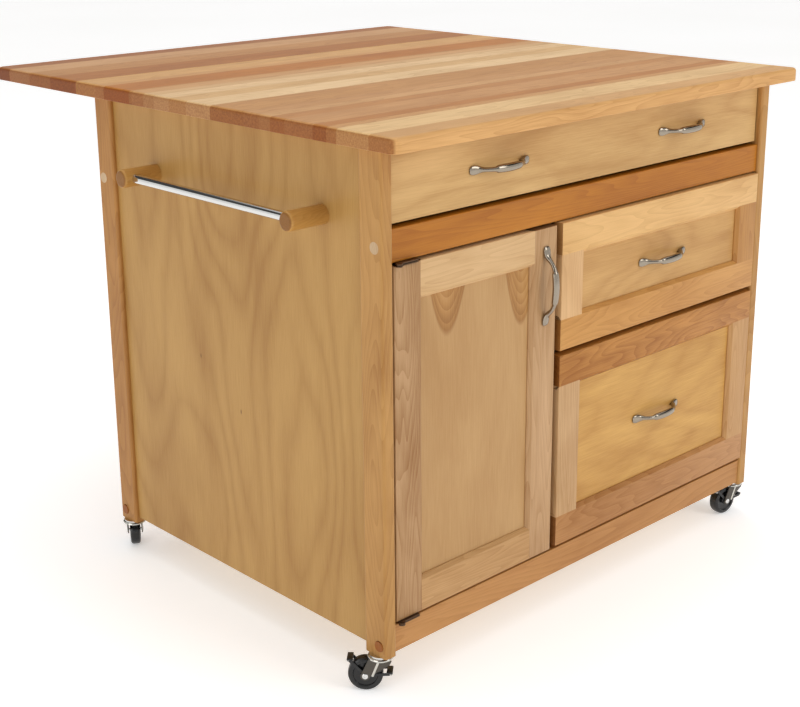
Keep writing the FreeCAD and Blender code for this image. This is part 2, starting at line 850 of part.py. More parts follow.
def slide_channel(side, wall, middle_z):
    """Fixed C-shaped channel on a wall at the left (-1) or right (+1) of a drawer, open to the drawer."""
    x = wall if side < 0 else f"({wall}) - slide_width"
    hollow_x = f"({wall}) + slide_metal" if side < 0 else f"({wall}) - slide_width - slide_metal"
    outside = box(
        "channel_outside",
        ("slide_width", "slide_length", "slide_height"),
        (x, "slide_front", f"({middle_z}) - slide_height / 2"),
    )
    hollow = box(
        "channel_hollow",
        ("slide_width", "slide_length", "slide_height - 2 * slide_metal"),
        (hollow_x, "slide_front", f"({middle_z}) - slide_height / 2 + slide_metal"),
    )
    return cut("slide_channel", outside, hollow)


def slide_runner(side, wall, middle_z):
    """Moving C-shaped runner on the drawer's side, its flanges inside the channel."""
    height = "slide_height - 2 * slide_metal - 2 * slide_clearance"
    depth = "slide_total - slide_metal - slide_clearance"
    x = f"({wall}) + slide_metal + slide_clearance" if side < 0 else f"({wall}) - slide_total"
    hollow_x = f"({x}) - slide_metal" if side < 0 else f"({x}) + slide_metal"
    outside = box(
        "runner_outside",
        (depth, "runner_length", height),
        (x, "slide_front", f"({middle_z}) - ({height}) / 2"),
    )
    hollow = box(
        "runner_hollow",
        (depth, "runner_length", f"{height} - 2 * slide_metal"),
        (hollow_x, "slide_front", f"({middle_z}) - ({height}) / 2 + slide_metal"),
    )
    return cut("slide_runner", outside, hollow)


channels = []


def drawer(name, walls, front_back, bottom, height, pulls, front_depth):
    """Box, runners and pulls of one drawer between two walls; returns the screws' holes for its front."""
    left, right = walls
    middle = f"({bottom}) + ({height}) / 2"
    length = f"({front_depth}) + box_wall_thick"
    face = f"({front_back}) - ({front_depth})"
    holes = []
    for x, z in pulls:
        holes += pull_screws(name + "_pull_hole", x, face, z, length)
    NODES[name + "_box"] = drawer_box(
        name + "_box",
        f"({left}) + slide_total",
        f"({right}) - slide_total",
        front_back,
        bottom,
        height,
        holes,
    )
    NODES[name + "_runners"] = group(
        name + "_runners", [slide_runner(-1, left, middle), slide_runner(1, right, middle)]
    )
    pieces = []
    for x, z in pulls:
        pieces.append(pull(name + "_pull_arch", x, face, z))
        pieces += pull_screws(name + "_pull_screw", x, face, z, length)
    NODES[name + "_pull"] = group(name + "_pull", pieces)
    channels.extend([slide_channel(-1, left, middle), slide_channel(1, right, middle)])
    return holes


top_middle_z = "top_front_bottom + top_front_height / 2"
top_holes = drawer(
    "top_drawer",
    ("-inner_half", "inner_half"),
    "top_front_back",
    "top_front_bottom + box_bottom_lift",
    "top_box_height",
    [("-pull_offset_x", top_middle_z), ("pull_offset_x", top_middle_z)],
    "front_thick",
)
top_front = board(
    "top_front_blank",
    ("top_front_width", "front_thick", "top_front_height"),
    ("-inner_half + front_gap", "top_front_face", "top_front_bottom"),
    eased=LONG_X,
)
NODES["top_drawer_front"] = cut("top_drawer_front", top_front, *top_holes)

LOWER_DRAWERS = {
    "middle_drawer": ("middle_bottom", "middle_height", "middle_box_height"),
    "deep_drawer": ("deep_bottom", "deep_front_height", "deep_box_height"),
}
for name, (bottom, height, box_height) in LOWER_DRAWERS.items():
    holes = drawer(
        name,
        ("divider_right", "inner_half"),
        "lower_back",
        f"{bottom} + 2 * box_bottom_lift",
        box_height,
        [("(lower_left + lower_right) / 2", f"{bottom} + {height} / 2")],
        "front_thick - frame_panel_setback",
    )
    frame, panel = framed_front(name, "lower_left", "lower_face", bottom, "lower_width", height, "rails")
    NODES[name + "_frame"] = group(name + "_frame", frame)
    NODES[name + "_panel"] = cut(name + "_panel", panel, *holes)
NODES["slide_channels"] = group("slide_channels", channels)

# ---------------------------------------------------------------- door
door_frame, door_panel = framed_front(
    "door", "door_left", "door_face", "door_bottom_z", "door_width", "door_height", "stiles"
)
pull_place = ("door_right - stile_width / 2", "door_face", "rail_bottom_z - 2 * rail_height")
door_holes = pull_screws("door_pull_hole", *pull_place, "front_thick", upright=True)
door_frame[1] = cut("door_stile_drilled", door_frame[1], *door_holes)
NODES["door_frame"] = group("door_frame", door_frame)
NODES["door_panel"] = door_panel
NODES["door_pull"] = group(
    "door_pull",
    [pull("door_pull_arch", *pull_place, upright=True)]
    + pull_screws("door_pull_screw", *pull_place, "front_thick", upright=True),
)


def pivot_plate(name, z, y_back):
    """Flat plate with an eye round the pivot line, which stands in front of the door's face."""
    at = ("pivot_x", "pivot_y", z)
    size = ("pivot_plate_length", f"({y_back}) - pivot_y", "pivot_plate_thick")
    plate = box(name + "_plate", size, at)
    eye = rod(name + "_eye", "pivot_x_inset - pivot_eye_gap", "pivot_plate_thick", at)
    return join(name, plate, eye)


def pivot_rod(name, z, radius, length):
    """Cylinder on the pivot line."""
    return rod(name, radius, length, ("pivot_x", "pivot_y", z))


def pivot_arm(name, z):
    """Plate on the door's end, bored to turn on the pin of the fixed plate."""
    bore = pivot_rod("eye_bore", z, "pivot_radius + running_clearance", "pivot_plate_thick")
    return cut(name + "_bored", pivot_plate(name, z, "door_back"), bore)


upper_fixed_z = "rail_bottom_z - pivot_plate_thick"
pin_reach = "pivot_plate_thick + pivot_pin_spare"
NODES["door_pivot_plates"] = group(
    "door_pivot_plates",
    [
        join(
            "upper_fixed_pivot",
            pivot_plate("upper_fixed", upper_fixed_z, "rail_back"),
            pivot_rod("upper_pin", f"{upper_fixed_z} - ({pin_reach})", "pivot_radius", pin_reach),
        ),
        join(
            "lower_fixed_pivot",
            pivot_plate("lower_fixed", "toe_top_z", "rail_back"),
            pivot_rod("lower_pin", "toe_top_z + pivot_plate_thick", "pivot_radius", pin_reach),
        ),
    ],
)
NODES["door_pivot_arms"] = group(
    "door_pivot_arms",
    [
        pivot_arm("upper_arm", "door_top"),
        pivot_arm("lower_arm", "door_bottom_z - pivot_plate_thick"),
    ],
)
CATCH_Z = "(door_top - 2 * catch_width)"
NODES["door_catch"] = box(
    "door_catch",
    ("divider_thick", "rail_thick", "catch_width"),
    ("divider_left - divider_thick", "door_back + strike_thick + catch_gap", CATCH_Z),
)
NODES["door_strike"] = box(
    "door_strike",
    ("divider_thick", "strike_thick", "catch_width"),
    ("divider_left - divider_thick", "door_back", CATCH_Z),
)

# ---------------------------------------------------------------- leaf hinges
KNUCKLE_SPLIT = "hinge_length / 6"


def hinge_half(name, x, wing):
    """Half of a leaf hinge: the fixed one (-1) has the end knuckles, the moving one (+1) the middle."""
    gap = "hinge_clearance"
    edge = "hinge_barrel_radius + hinge_clearance"
    z = "under_top - hinge_plate_thick"
    y = low(wing, edge, "hinge_plate_width")
    pieces = [
        box(
            name + "_plate",
            ("hinge_length", f"hinge_plate_width - ({edge})", "hinge_plate_thick"),
            (f"{x} - hinge_length / 2", f"hinge_y + {y}", z),
        )
    ]
    if wing > 0:
        spans = [(f"-({KNUCKLE_SPLIT}) + {gap}", f"2 * ({KNUCKLE_SPLIT}) - 2 * {gap}")]
    else:
        length = f"hinge_length / 2 - ({KNUCKLE_SPLIT})"
        spans = [("-hinge_length / 2", length), (KNUCKLE_SPLIT, length)]
    for start, length in spans:
        first_x = f"({x}) + {start}"
        at = (first_x, "hinge_y", "hinge_z")
        pieces.append(rod(name + "_knuckle", "hinge_barrel_radius", length, at, axis="x"))
        web_at = (first_x, f"hinge_y + {low(wing, '0', edge)}", z)
        pieces.append(box(name + "_web", (length, edge, "hinge_plate_thick"), web_at))
    bore = "hinge_pin_radius" if wing < 0 else "hinge_pin_radius + running_clearance"
    return cut(name, join(name + "_solid", *pieces), hinge_pin("hinge_bore", x, bore))


def hinge_pin(name, x, radius):
    """Cylinder on the hinge line, as long as the hinge."""
    at = (f"({x}) - hinge_length / 2", "hinge_y", "hinge_z")
    return rod(name, radius, "hinge_length", at, axis="x")


HINGE_PLACES = ("-hinge_offset_x", "0", "hinge_offset_x")
NODES["leaf_hinge_fixed"] = group(
    "leaf_hinge_fixed",
    [hinge_half("hinge_fixed_half", x, -1) for x in HINGE_PLACES]
    + [hinge_pin("hinge_pin", x, "hinge_pin_radius") for x in HINGE_PLACES],
)
NODES["leaf_hinge_moving"] = group(
    "leaf_hinge_moving", [hinge_half("hinge_moving_half", x, 1) for x in HINGE_PLACES]
)

# ---------------------------------------------------------------- folding stays of the leaf
# From the middle outwards each stay has its wall ear, lower link, upper link and leaf ear, a small
# gap between one and the next.
STAY_LAYERS = {
    "wall_ear": ("0", "stay_ear_thick"),
    "lower_link": ("stay_ear_thick + stay_gap", "stay_metal"),
    "upper_link": ("stay_ear_thick + 2 * stay_gap + stay_metal", "stay_metal"),
    "leaf_ear": ("stay_ear_thick + 3 * stay_gap + 2 * stay_metal", "stay_ear_thick"),
}
LOW_PIVOT = ("stay_low_y", "stay_low_z")
LEAF_PIVOT = ("stay_leaf_y", "stay_leaf_z")


def layer(side, name):
    """Lowest X and thickness of one layer of the stay on a side."""
    start, thick = STAY_LAYERS[name]
    near = f"stay_offset_x + {start}"
    return low(side, near, f"{near} + {thick}"), thick


def stay_bracket(name, side, ear, link, pivot, ear_span, foot):
    """Foot screwed to wood, with an ear and the pin that carries a link."""
    x, thick = layer(side, ear)
    _, link_thick = STAY_LAYERS[link]
    lower_y, lower_z, run_y, run_z = ear_span
    ear_block = box(name + "_ear", (thick, run_y, run_z), (x, lower_y, lower_z))
    outwards = (ear == "wall_ear") == (side > 0)
    start = f"({x}) + {thick}" if outwards else x
    reach = f"{link_thick} + stay_gap - stay_pin_short"
    axis = "x" if outwards else "-x"
    pin = rod(name + "_pin", "stay_pin_radius", reach, (start, *pivot), axis=axis)
    return join(name, ear_block, box(name + "_foot", *foot), pin)


def wall_bracket(side):
    """Bracket on the upper back rail."""
    face = "back_rail_front + rail_thick"
    run = f"stay_low_y + stay_width / 2 - ({face})"
    ear_span = (face, "stay_low_z - stay_width / 2", run, "stay_width")
    foot_x = low(side, "stay_offset_x - stay_foot_width", "stay_offset_x + stay_ear_thick")
    foot = (
        ("stay_foot_width + stay_ear_thick", "stay_ear_thick", "stay_foot_length"),
        (foot_x, face, "stay_low_z - stay_foot_length / 2"),
    )
    return stay_bracket("wall_bracket", side, "wall_ear", "lower_link", LOW_PIVOT, ear_span, foot)


def leaf_bracket(side):
    """Bracket under the leaf."""
    ear_span = (
        "stay_leaf_y - stay_width / 2",
        "stay_leaf_z - stay_width / 2",
        "stay_width",
        "under_top - stay_leaf_z + stay_width / 2",
    )
    near = f"stay_offset_x + {STAY_LAYERS['leaf_ear'][0]}"
    foot_x = low(side, near, f"{near} + stay_foot_width + stay_ear_thick")
    foot = (
        ("stay_foot_width + stay_ear_thick", "stay_foot_length", "stay_ear_thick"),
        (foot_x, "stay_leaf_y - stay_foot_length / 2", "under_top - stay_ear_thick"),
    )
    return stay_bracket("leaf_bracket", side, "leaf_ear", "upper_link", LEAF_PIVOT, ear_span, foot)


def stay_link(name, side, layer_name, pivot, length, towards):
    """Flat bar with round ends, from its pivot towards a point, bored at the pivot and at the knee."""
    x, thick = layer(side, layer_name)
    width = number("stay_width")
    run = number(length)
    metal = number(thick)
    along_x = FreeCAD.Vector(1, 0, 0)
    shape = Part.makeBox(metal, width, run, FreeCAD.Vector(0, -width / 2, 0))
    for z in (0, run):
        shape = shape.fuse(Part.makeCylinder(width / 2, metal, FreeCAD.Vector(0, 0, z), along_x))
    pin = number("stay_pin_radius + running_clearance")
    shape = shape.cut(Part.makeCylinder(pin, metal, FreeCAD.Vector(), along_x)).removeSplitter()
    dy = number(f"({towards[0]}) - ({pivot[0]})")
    dz = number(f"({towards[1]}) - ({pivot[1]})")
    shape.rotate(FreeCAD.Vector(), along_x, -math.degrees(math.atan2(dy, dz)))
    return coded(name, shape, (x, pivot[0], pivot[1]))


STAY_SPAN = "sqrt((stay_leaf_reach + stay_lower_back)^2 + (stay_lower_drop - stay_leaf_drop)^2)"
LOWER_LINK = f"({STAY_SPAN} + stay_lower_drop - stay_leaf_reach) / 2"
UPPER_LINK = f"({STAY_SPAN} - stay_lower_drop + stay_leaf_reach) / 2"
NODES["stay_wall_brackets"] = group("stay_wall_brackets", [wall_bracket(side) for side in (-1, 1)])
NODES["stay_leaf_brackets"] = group("stay_leaf_brackets", [leaf_bracket(side) for side in (-1, 1)])
NODES["stay_lower_links"] = group(
    "stay_lower_links",
    [
        stay_link("lower_link", side, "lower_link", LOW_PIVOT, LOWER_LINK, LEAF_PIVOT)
        for side in (-1, 1)
    ],
)
NODES["stay_upper_links"] = group(
    "stay_upper_links",
    [
        stay_link("upper_link", side, "upper_link", LEAF_PIVOT, UPPER_LINK, LOW_PIVOT)
        for side in (-1, 1)
    ],
)

# ---------------------------------------------------------------- casters
# Direction in which each caster trails, in degrees from +X.
CASTER_TURNS = {
    ("front", "left"): 133,
    ("front", "right"): 173,
    ("back", "left"): 57,
    ("back", "right"): 98,
}
# Tips of a brake lever from its axle, in wheel radii: the one behind and the one in front.
BRAKE_TIPS = ((0.86, 0.9), (-1.362, 0.103))


def caster_stem(x, y):
    """Stem in the post, raceway under it, and the kingpin whose head carries the fork."""
    return join(
        "caster_stem",
        rod("stem", "kingpin_radius", "stem_length", (x, y, "body_floor_gap")),
        rod("raceway", "raceway_radius", "raceway_thick", (x, y, "raceway_z")),
        rod("kingpin", "kingpin_radius", "raceway_z - head_top", (x, y, "head_top")),
        rod(
            "kingpin_head",
            "kingpin_head_radius",
            "kingpin_head_thick",
            (x, y, "head_top - kingpin_head_thick"),
        ),
    )


def cheek(points, radius, y, thick):
    """Flat plate in the XZ plane: the outline round circles of one radius at the given points."""
    plate = None
    for start, end in zip(points, points[1:] + points[:1]):
        run = FreeCAD.Vector(end[0] - start[0], 0, end[1] - start[1])
        across = FreeCAD.Vector(-run.z, 0, run.x).normalize() * radius
        a, b = FreeCAD.Vector(start[0], y, start[1]), FreeCAD.Vector(end[0], y, end[1])
        corners = [a + across, b + across, b - across, a - across]
        strip = Part.Face(Part.makePolygon(corners + corners[:1]))
        strip = strip.extrude(FreeCAD.Vector(0, thick, 0))
        strip = strip.fuse(Part.makeCylinder(radius, thick, a, FreeCAD.Vector(0, 1, 0)))
        plate = strip if plate is None else plate.fuse(strip)
    if len(points) > 2:
        flat = [FreeCAD.Vector(x, y, z) for x, z in points]
        middle = Part.Face(Part.makePolygon(flat + flat[:1]))
        plate = plate.fuse(middle.extrude(FreeCAD.Vector(0, thick, 0)))
    return plate.removeSplitter()


def axle_cylinder(radius, half_width):
    """Cylinder across the caster on its axle line."""
    at = FreeCAD.Vector(number("caster_trail"), -half_width, number("wheel_radius"))
    return Part.makeCylinder(radius, 2 * half_width, at, FreeCAD.Vector(0, 1, 0))


def fork_shape():
    """Pressed fork: a disc under the raceway and two cheeks down to the axle."""
    top, metal = number("fork_top"), number("fork_metal")
    disc_radius, inner = number("fork_disc_radius"), number("fork_inner_width / 2")
    trail, axle_z = number("caster_trail"), number("wheel_radius")
    shape = Part.makeCylinder(disc_radius, metal, FreeCAD.Vector(0, 0, top - metal))
    edge = number("fork_edge_radius")
    outline = [
        (-disc_radius + 2 * edge, top - 3 * edge),
        (-disc_radius + 2 * edge, top - edge),
        (disc_radius - edge, top - edge),
        (trail + edge, axle_z),
        (trail - edge / 2, axle_z),
    ]
    for y in (-inner - metal, inner):
        shape = shape.fuse(cheek(outline, edge, y, metal))
    bore = number("kingpin_radius + running_clearance")
    shape = shape.cut(Part.makeCylinder(bore, 4 * metal, FreeCAD.Vector(0, 0, top - 2 * metal)))
    return shape.cut(axle_cylinder(number("axle_radius"), 2 * inner)).removeSplitter()


def axle_shape():
    """Axle with a riveted head outside each cheek."""
    outside = number("fork_inner_width / 2 + fork_metal")
    radius, head_radius = number("axle_radius"), number("axle_head_radius")
    whole = outside + number("axle_head_thick")
    heads = axle_cylinder(head_radius, whole).cut(axle_cylinder(2 * head_radius, outside))
    return axle_cylinder(radius, whole).fuse(heads).removeSplitter()


def wheel_shape():
    """Turned wheel with a rounded tread and a hub that stands proud of a shallow dish."""
    radius, half = number("wheel_radius"), number("wheel_width / 2")
    tread = number("wheel_tread_radius")
    solid = axle_cylinder(radius, half)
    rims = [edge for edge in solid.Edges if edge.Closed]
    solid = solid.makeFillet(tread, rims)
    web = axle_cylinder(radius, half - number("wheel_dish"))
    dish = axle_cylinder(radius - 2 * tread, half).cut(web)
    solid = solid.cut(dish.cut(axle_cylinder(number("hub_radius"), half)))
    return solid.cut(axle_cylinder(number("axle_radius + running_clearance"), half))


def brake_shape():
    """Brake lever: two legs between wheel and fork, joined by a tab behind and a tab in front."""
    metal, half = number("brake_metal"), number("wheel_width / 2 + brake_side_gap")
    trail, axle_z = number("caster_trail"), number("wheel_radius")
    eye = (trail, axle_z)
    tips = [(trail + x * axle_z, axle_z + z * axle_z) for x, z in BRAKE_TIPS]
    pieces = []
    for y in (-half - metal, half):
        pieces += [cheek([eye, tip], number("brake_leg_radius"), y, metal) for tip in tips]
        ring = axle_cylinder(number("brake_eye_radius"), half + metal)
        slab = Part.makeBox(4 * trail, metal, 4 * axle_z, FreeCAD.Vector(-trail, y, -axle_z))
        pieces.append(ring.common(slab))
    run, height = number("brake_tab_length"), number("brake_tab_height")
    width = 2 * (half + metal - number("brake_tab_inset"))
    for x, z in tips:
        corner = FreeCAD.Vector(x - run / 2, -width / 2, z - height / 2)
        pieces.append(Part.makeBox(run, width, height, corner))
    shape = pieces[0].fuse(pieces[1:])
    bore = number("axle_radius + running_clearance")
    return shape.cut(axle_cylinder(bore, 2 * half)).removeSplitter()


stems = []
for (end_name, side_name), turn in CASTER_TURNS.items():
    at = (f"{SIDES[side_name]} * caster_x", f"{ENDS[end_name]} * caster_y")
    tag = f"{end_name}_{side_name}"
    stems.append(caster_stem(*at))
    NODES["caster_fork_" + tag] = group(
        "caster_fork_" + tag,
        [
            coded("fork", fork_shape(), (*at, "0"), turn),
            coded("axle", axle_shape(), (*at, "0"), turn),
        ],
    )
    NODES["caster_wheel_" + tag] = coded("caster_wheel_" + tag, wheel_shape(), (*at, "0"), turn)
    if end_name == "front":
        NODES["brake_lever_" + side_name] = coded(
            "brake_lever_" + side_name, brake_shape(), (*at, "0"), turn
        )
NODES["caster_stems"] = group("caster_stems", stems)

# ---------------------------------------------------------------- checks and files
doc.recompute()
for item in doc.Objects:
    if "Invalid" in item.State or "Error" in item.State:
        raise RuntimeError(f"{item.Label} is {item.State}")
for name, item in NODES.items():
    item.Label = name
    if item.Shape.isNull() or not item.Shape.isValid() or not item.Shape.Solids:
        raise RuntimeError(f"{name} has no valid solid")
    item.Shape.exportStep(f"parts/{name}.step")
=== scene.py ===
"""Wooden kitchen island with a butcher-block worktop and drop leaf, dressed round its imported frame."""

import json
import logging
import math
from collections.abc import Iterable, Mapping, Sequence
from dataclasses import dataclass, field
from enum import Enum
from typing import Any

import bmesh
import bpy
from mathutils import Euler, Matrix, Vector

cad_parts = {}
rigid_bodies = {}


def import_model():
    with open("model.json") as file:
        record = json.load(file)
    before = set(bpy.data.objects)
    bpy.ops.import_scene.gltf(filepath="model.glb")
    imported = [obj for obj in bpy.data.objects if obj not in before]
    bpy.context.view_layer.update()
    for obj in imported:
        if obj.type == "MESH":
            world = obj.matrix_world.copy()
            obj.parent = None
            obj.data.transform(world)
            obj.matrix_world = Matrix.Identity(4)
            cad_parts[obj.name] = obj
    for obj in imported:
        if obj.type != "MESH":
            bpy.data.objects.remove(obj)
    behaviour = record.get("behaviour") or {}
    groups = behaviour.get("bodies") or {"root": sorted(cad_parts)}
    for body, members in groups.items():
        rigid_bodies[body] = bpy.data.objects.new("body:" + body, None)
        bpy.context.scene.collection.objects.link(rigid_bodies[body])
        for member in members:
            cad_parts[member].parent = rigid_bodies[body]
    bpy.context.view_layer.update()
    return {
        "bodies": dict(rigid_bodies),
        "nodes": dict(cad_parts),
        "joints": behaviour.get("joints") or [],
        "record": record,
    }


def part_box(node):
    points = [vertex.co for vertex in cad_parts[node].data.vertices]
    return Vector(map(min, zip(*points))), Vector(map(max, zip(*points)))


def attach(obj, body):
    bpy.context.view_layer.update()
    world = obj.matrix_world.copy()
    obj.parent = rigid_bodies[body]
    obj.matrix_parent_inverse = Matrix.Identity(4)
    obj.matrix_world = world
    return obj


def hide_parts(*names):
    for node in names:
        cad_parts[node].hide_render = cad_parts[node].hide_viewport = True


LOG = logging.getLogger("kitchen_island")
MM = 0.001
TINY = 1e-7
WELD = 1e-6
FULL_TURN = 2 * math.pi

Feeds = Mapping[str | int, Any]
Point = tuple[float, float, float]
Colour = tuple[float, float, float, float]


# ------------------------------------------------------------------ node helpers
def linear(code: str) -> Colour:
    """Turn an sRGB hex colour into the linear colour that shaders take.

    Args:
        code: six hex digits, with or without a leading #.

    Returns:
        Red, green, blue and an alpha of 1, linear.
    """
    digits = code.lstrip("#")
    shares = [int(digits[i:i + 2], 16) / 255 for i in (0, 2, 4)]
    red, green, blue = (c / 12.92 if c <= 0.04045 else ((c + 0.055) / 1.055) ** 2.4 for c in shares)
    return red, green, blue, 1.0


def add_node(tree: bpy.types.NodeTree, kind: str, feeds: Feeds | None = None, **settings: Any) -> Any:
    """Add a node, with its settings and what feeds its inputs.

    Args:
        tree: node tree that gets the node.
        kind: Blender's name for the node's type.
        feeds: input name or number to a socket, which is linked, or to a plain value.
        **settings: attributes of the node.

    Returns:
        The new node.
    """
    made = tree.nodes.new(kind)
    for name, value in settings.items():
        setattr(made, name, value)
    for name, value in (feeds or {}).items():
        if isinstance(value, bpy.types.NodeSocket):
            tree.links.new(value, made.inputs[name])
        else:
            made.inputs[name].default_value = value
    return made


def blank_material(name: str) -> tuple[bpy.types.Material, Any, Any]:
    """Make an empty node material.

    Args:
        name: name of the real material.

    Returns:
        The material, its tree and its shader node, already wired to the output.
    """
    material = bpy.data.materials.new(name)
    material.use_nodes = True
    tree = material.node_tree
    tree.nodes.clear()
    shader = add_node(tree, "ShaderNodeBsdfPrincipled")
    add_node(tree, "ShaderNodeOutputMaterial", {"Surface": shader.outputs[0]})
    return material, tree, shader


def stops(ramp: Any, colours: Sequence[tuple[float, Colour]]) -> None:
    """Give a colour ramp its stops.

    Args:
        ramp: the ramp's node.
        colours: place from 0 to 1 and linear colour of each stop, in order.
    """
    elements = ramp.color_ramp.elements
    while len(elements) < len(colours):
        elements.new(1.0)
    for element, (place, colour) in zip(elements, colours):
        element.position = place
        element.color = colour


# ------------------------------------------------------------------ finishes
# Linear light that each clear finish adds to the colour of the wood.
WOOD_SHEEN = 0.020
BLOCK_SHEEN = 0.042
# Share of a board's tone that is kept, so that it does not render too bright.
WOOD_KEPT = (0.93, 0.92, 0.92)
# The shade of wood starts here; fibres and drift share what its rings leave.
SHADE_START = 0.06
FIBRE_SHARE = 0.42
DRIFT_SHARE = 0.58
# Real fibres are finer; they are drawn this wide, and this much longer, so that they show.
FIBRE_WIDTH = 1.4 * MM
FIBRE_STRETCH = 36


class Grain(Enum):
    """Axis that the grain of a board follows, as the turn that brings it onto X."""

    ACROSS = (0.0, 0.0, 0.0)
    UPRIGHT = (0.0, math.pi / 2, 0.0)
    DEEP = (0.0, 0.0, -math.pi / 2)


def tinted(colour: Sequence[float], tint: Point) -> Colour:
    """Multiply a linear colour by a tint.

    Args:
        colour: linear red, green, blue and alpha.
        tint: share of red, green and blue to keep.

    Returns:
        The tinted colour, opaque.
    """
    red, green, blue = (min(c * t, 1.0) for c, t in zip(colour, tint))
    return red, green, blue, 1.0


def beneath(code: str, sheen: float) -> Colour:
    """Colour of wood under its finish, whose white sheen adds a little to every colour.

    Args:
        code: sRGB hex of the finished wood.
        sheen: linear light that the finish adds.

    Returns:
        The linear colour of the wood itself.
    """
    red, green, blue, _ = linear(code)
    return max(red - sheen, 0.004), max(green - sheen, 0.004), max(blue - sheen, 0.004), 1.0


def shaded(tone: Sequence[float], contrast: float) -> list[tuple[float, Colour]]:
    """Stops from the palest to the deepest wood; the deep one is redder, as late wood is.

    Args:
        tone: linear colour of the middle.
        contrast: 1 for the usual difference, 0 for none.

    Returns:
        Place and colour of three stops.
    """
    pale = (1 + 0.16 * contrast, 1 + 0.20 * contrast, 1 + 0.30 * contrast)
    deep = (1 - 0.20 * contrast, 1 - 0.28 * contrast, 1 - 0.38 * contrast)
    return [(0.32, tinted(tone, pale)), (0.5, tinted(tone, (1, 1, 1))), (0.70, tinted(tone, deep))]


@dataclass(frozen=True)
class Lacquer:
    """Thin clear finish on wood: the range of its gloss, and how much light it throws back."""

    smoothest: float
    roughest: float
    specular: float
    coat: float
    coat_roughness: float
    relief: float = 0.10
    relief_mm: float = 0.3

    def apply(self, tree: bpy.types.NodeTree, shader: Any, fibres: Any) -> None:
        """Set the gloss, the fine relief and the coat of a shader.

        Args:
            tree: the material's tree.
            shader: its shader node.
            fibres: the fibres' socket.
        """
        gloss = {"Value": fibres, 3: self.smoothest, 4: self.roughest}
        tree.links.new(add_node(tree, "ShaderNodeMapRange", gloss).outputs[0], shader.inputs["Roughness"])
        relief = {"Height": fibres, "Strength": self.relief, "Distance": self.relief_mm * MM}
        tree.links.new(add_node(tree, "ShaderNodeBump", relief).outputs[0], shader.inputs["Normal"])
        shader.inputs["Specular IOR Level"].default_value = self.specular
        shader.inputs["Coat Weight"].default_value = self.coat
        shader.inputs["Coat Roughness"].default_value = self.coat_roughness


@dataclass(frozen=True)
class Tongue:
    """Pointed tongue of heartwood that runs down a panel from its top edge, in metres."""

    middle: float
    half_width: float
    top: float
    length: float


@dataclass(frozen=True)
class Knot:
    """Pin knot, a small dark lens: its place on the face and its half sizes, in metres."""

    across: float
    height: float
    half_width: float = 1.6 * MM
    half_height: float = 4.5 * MM


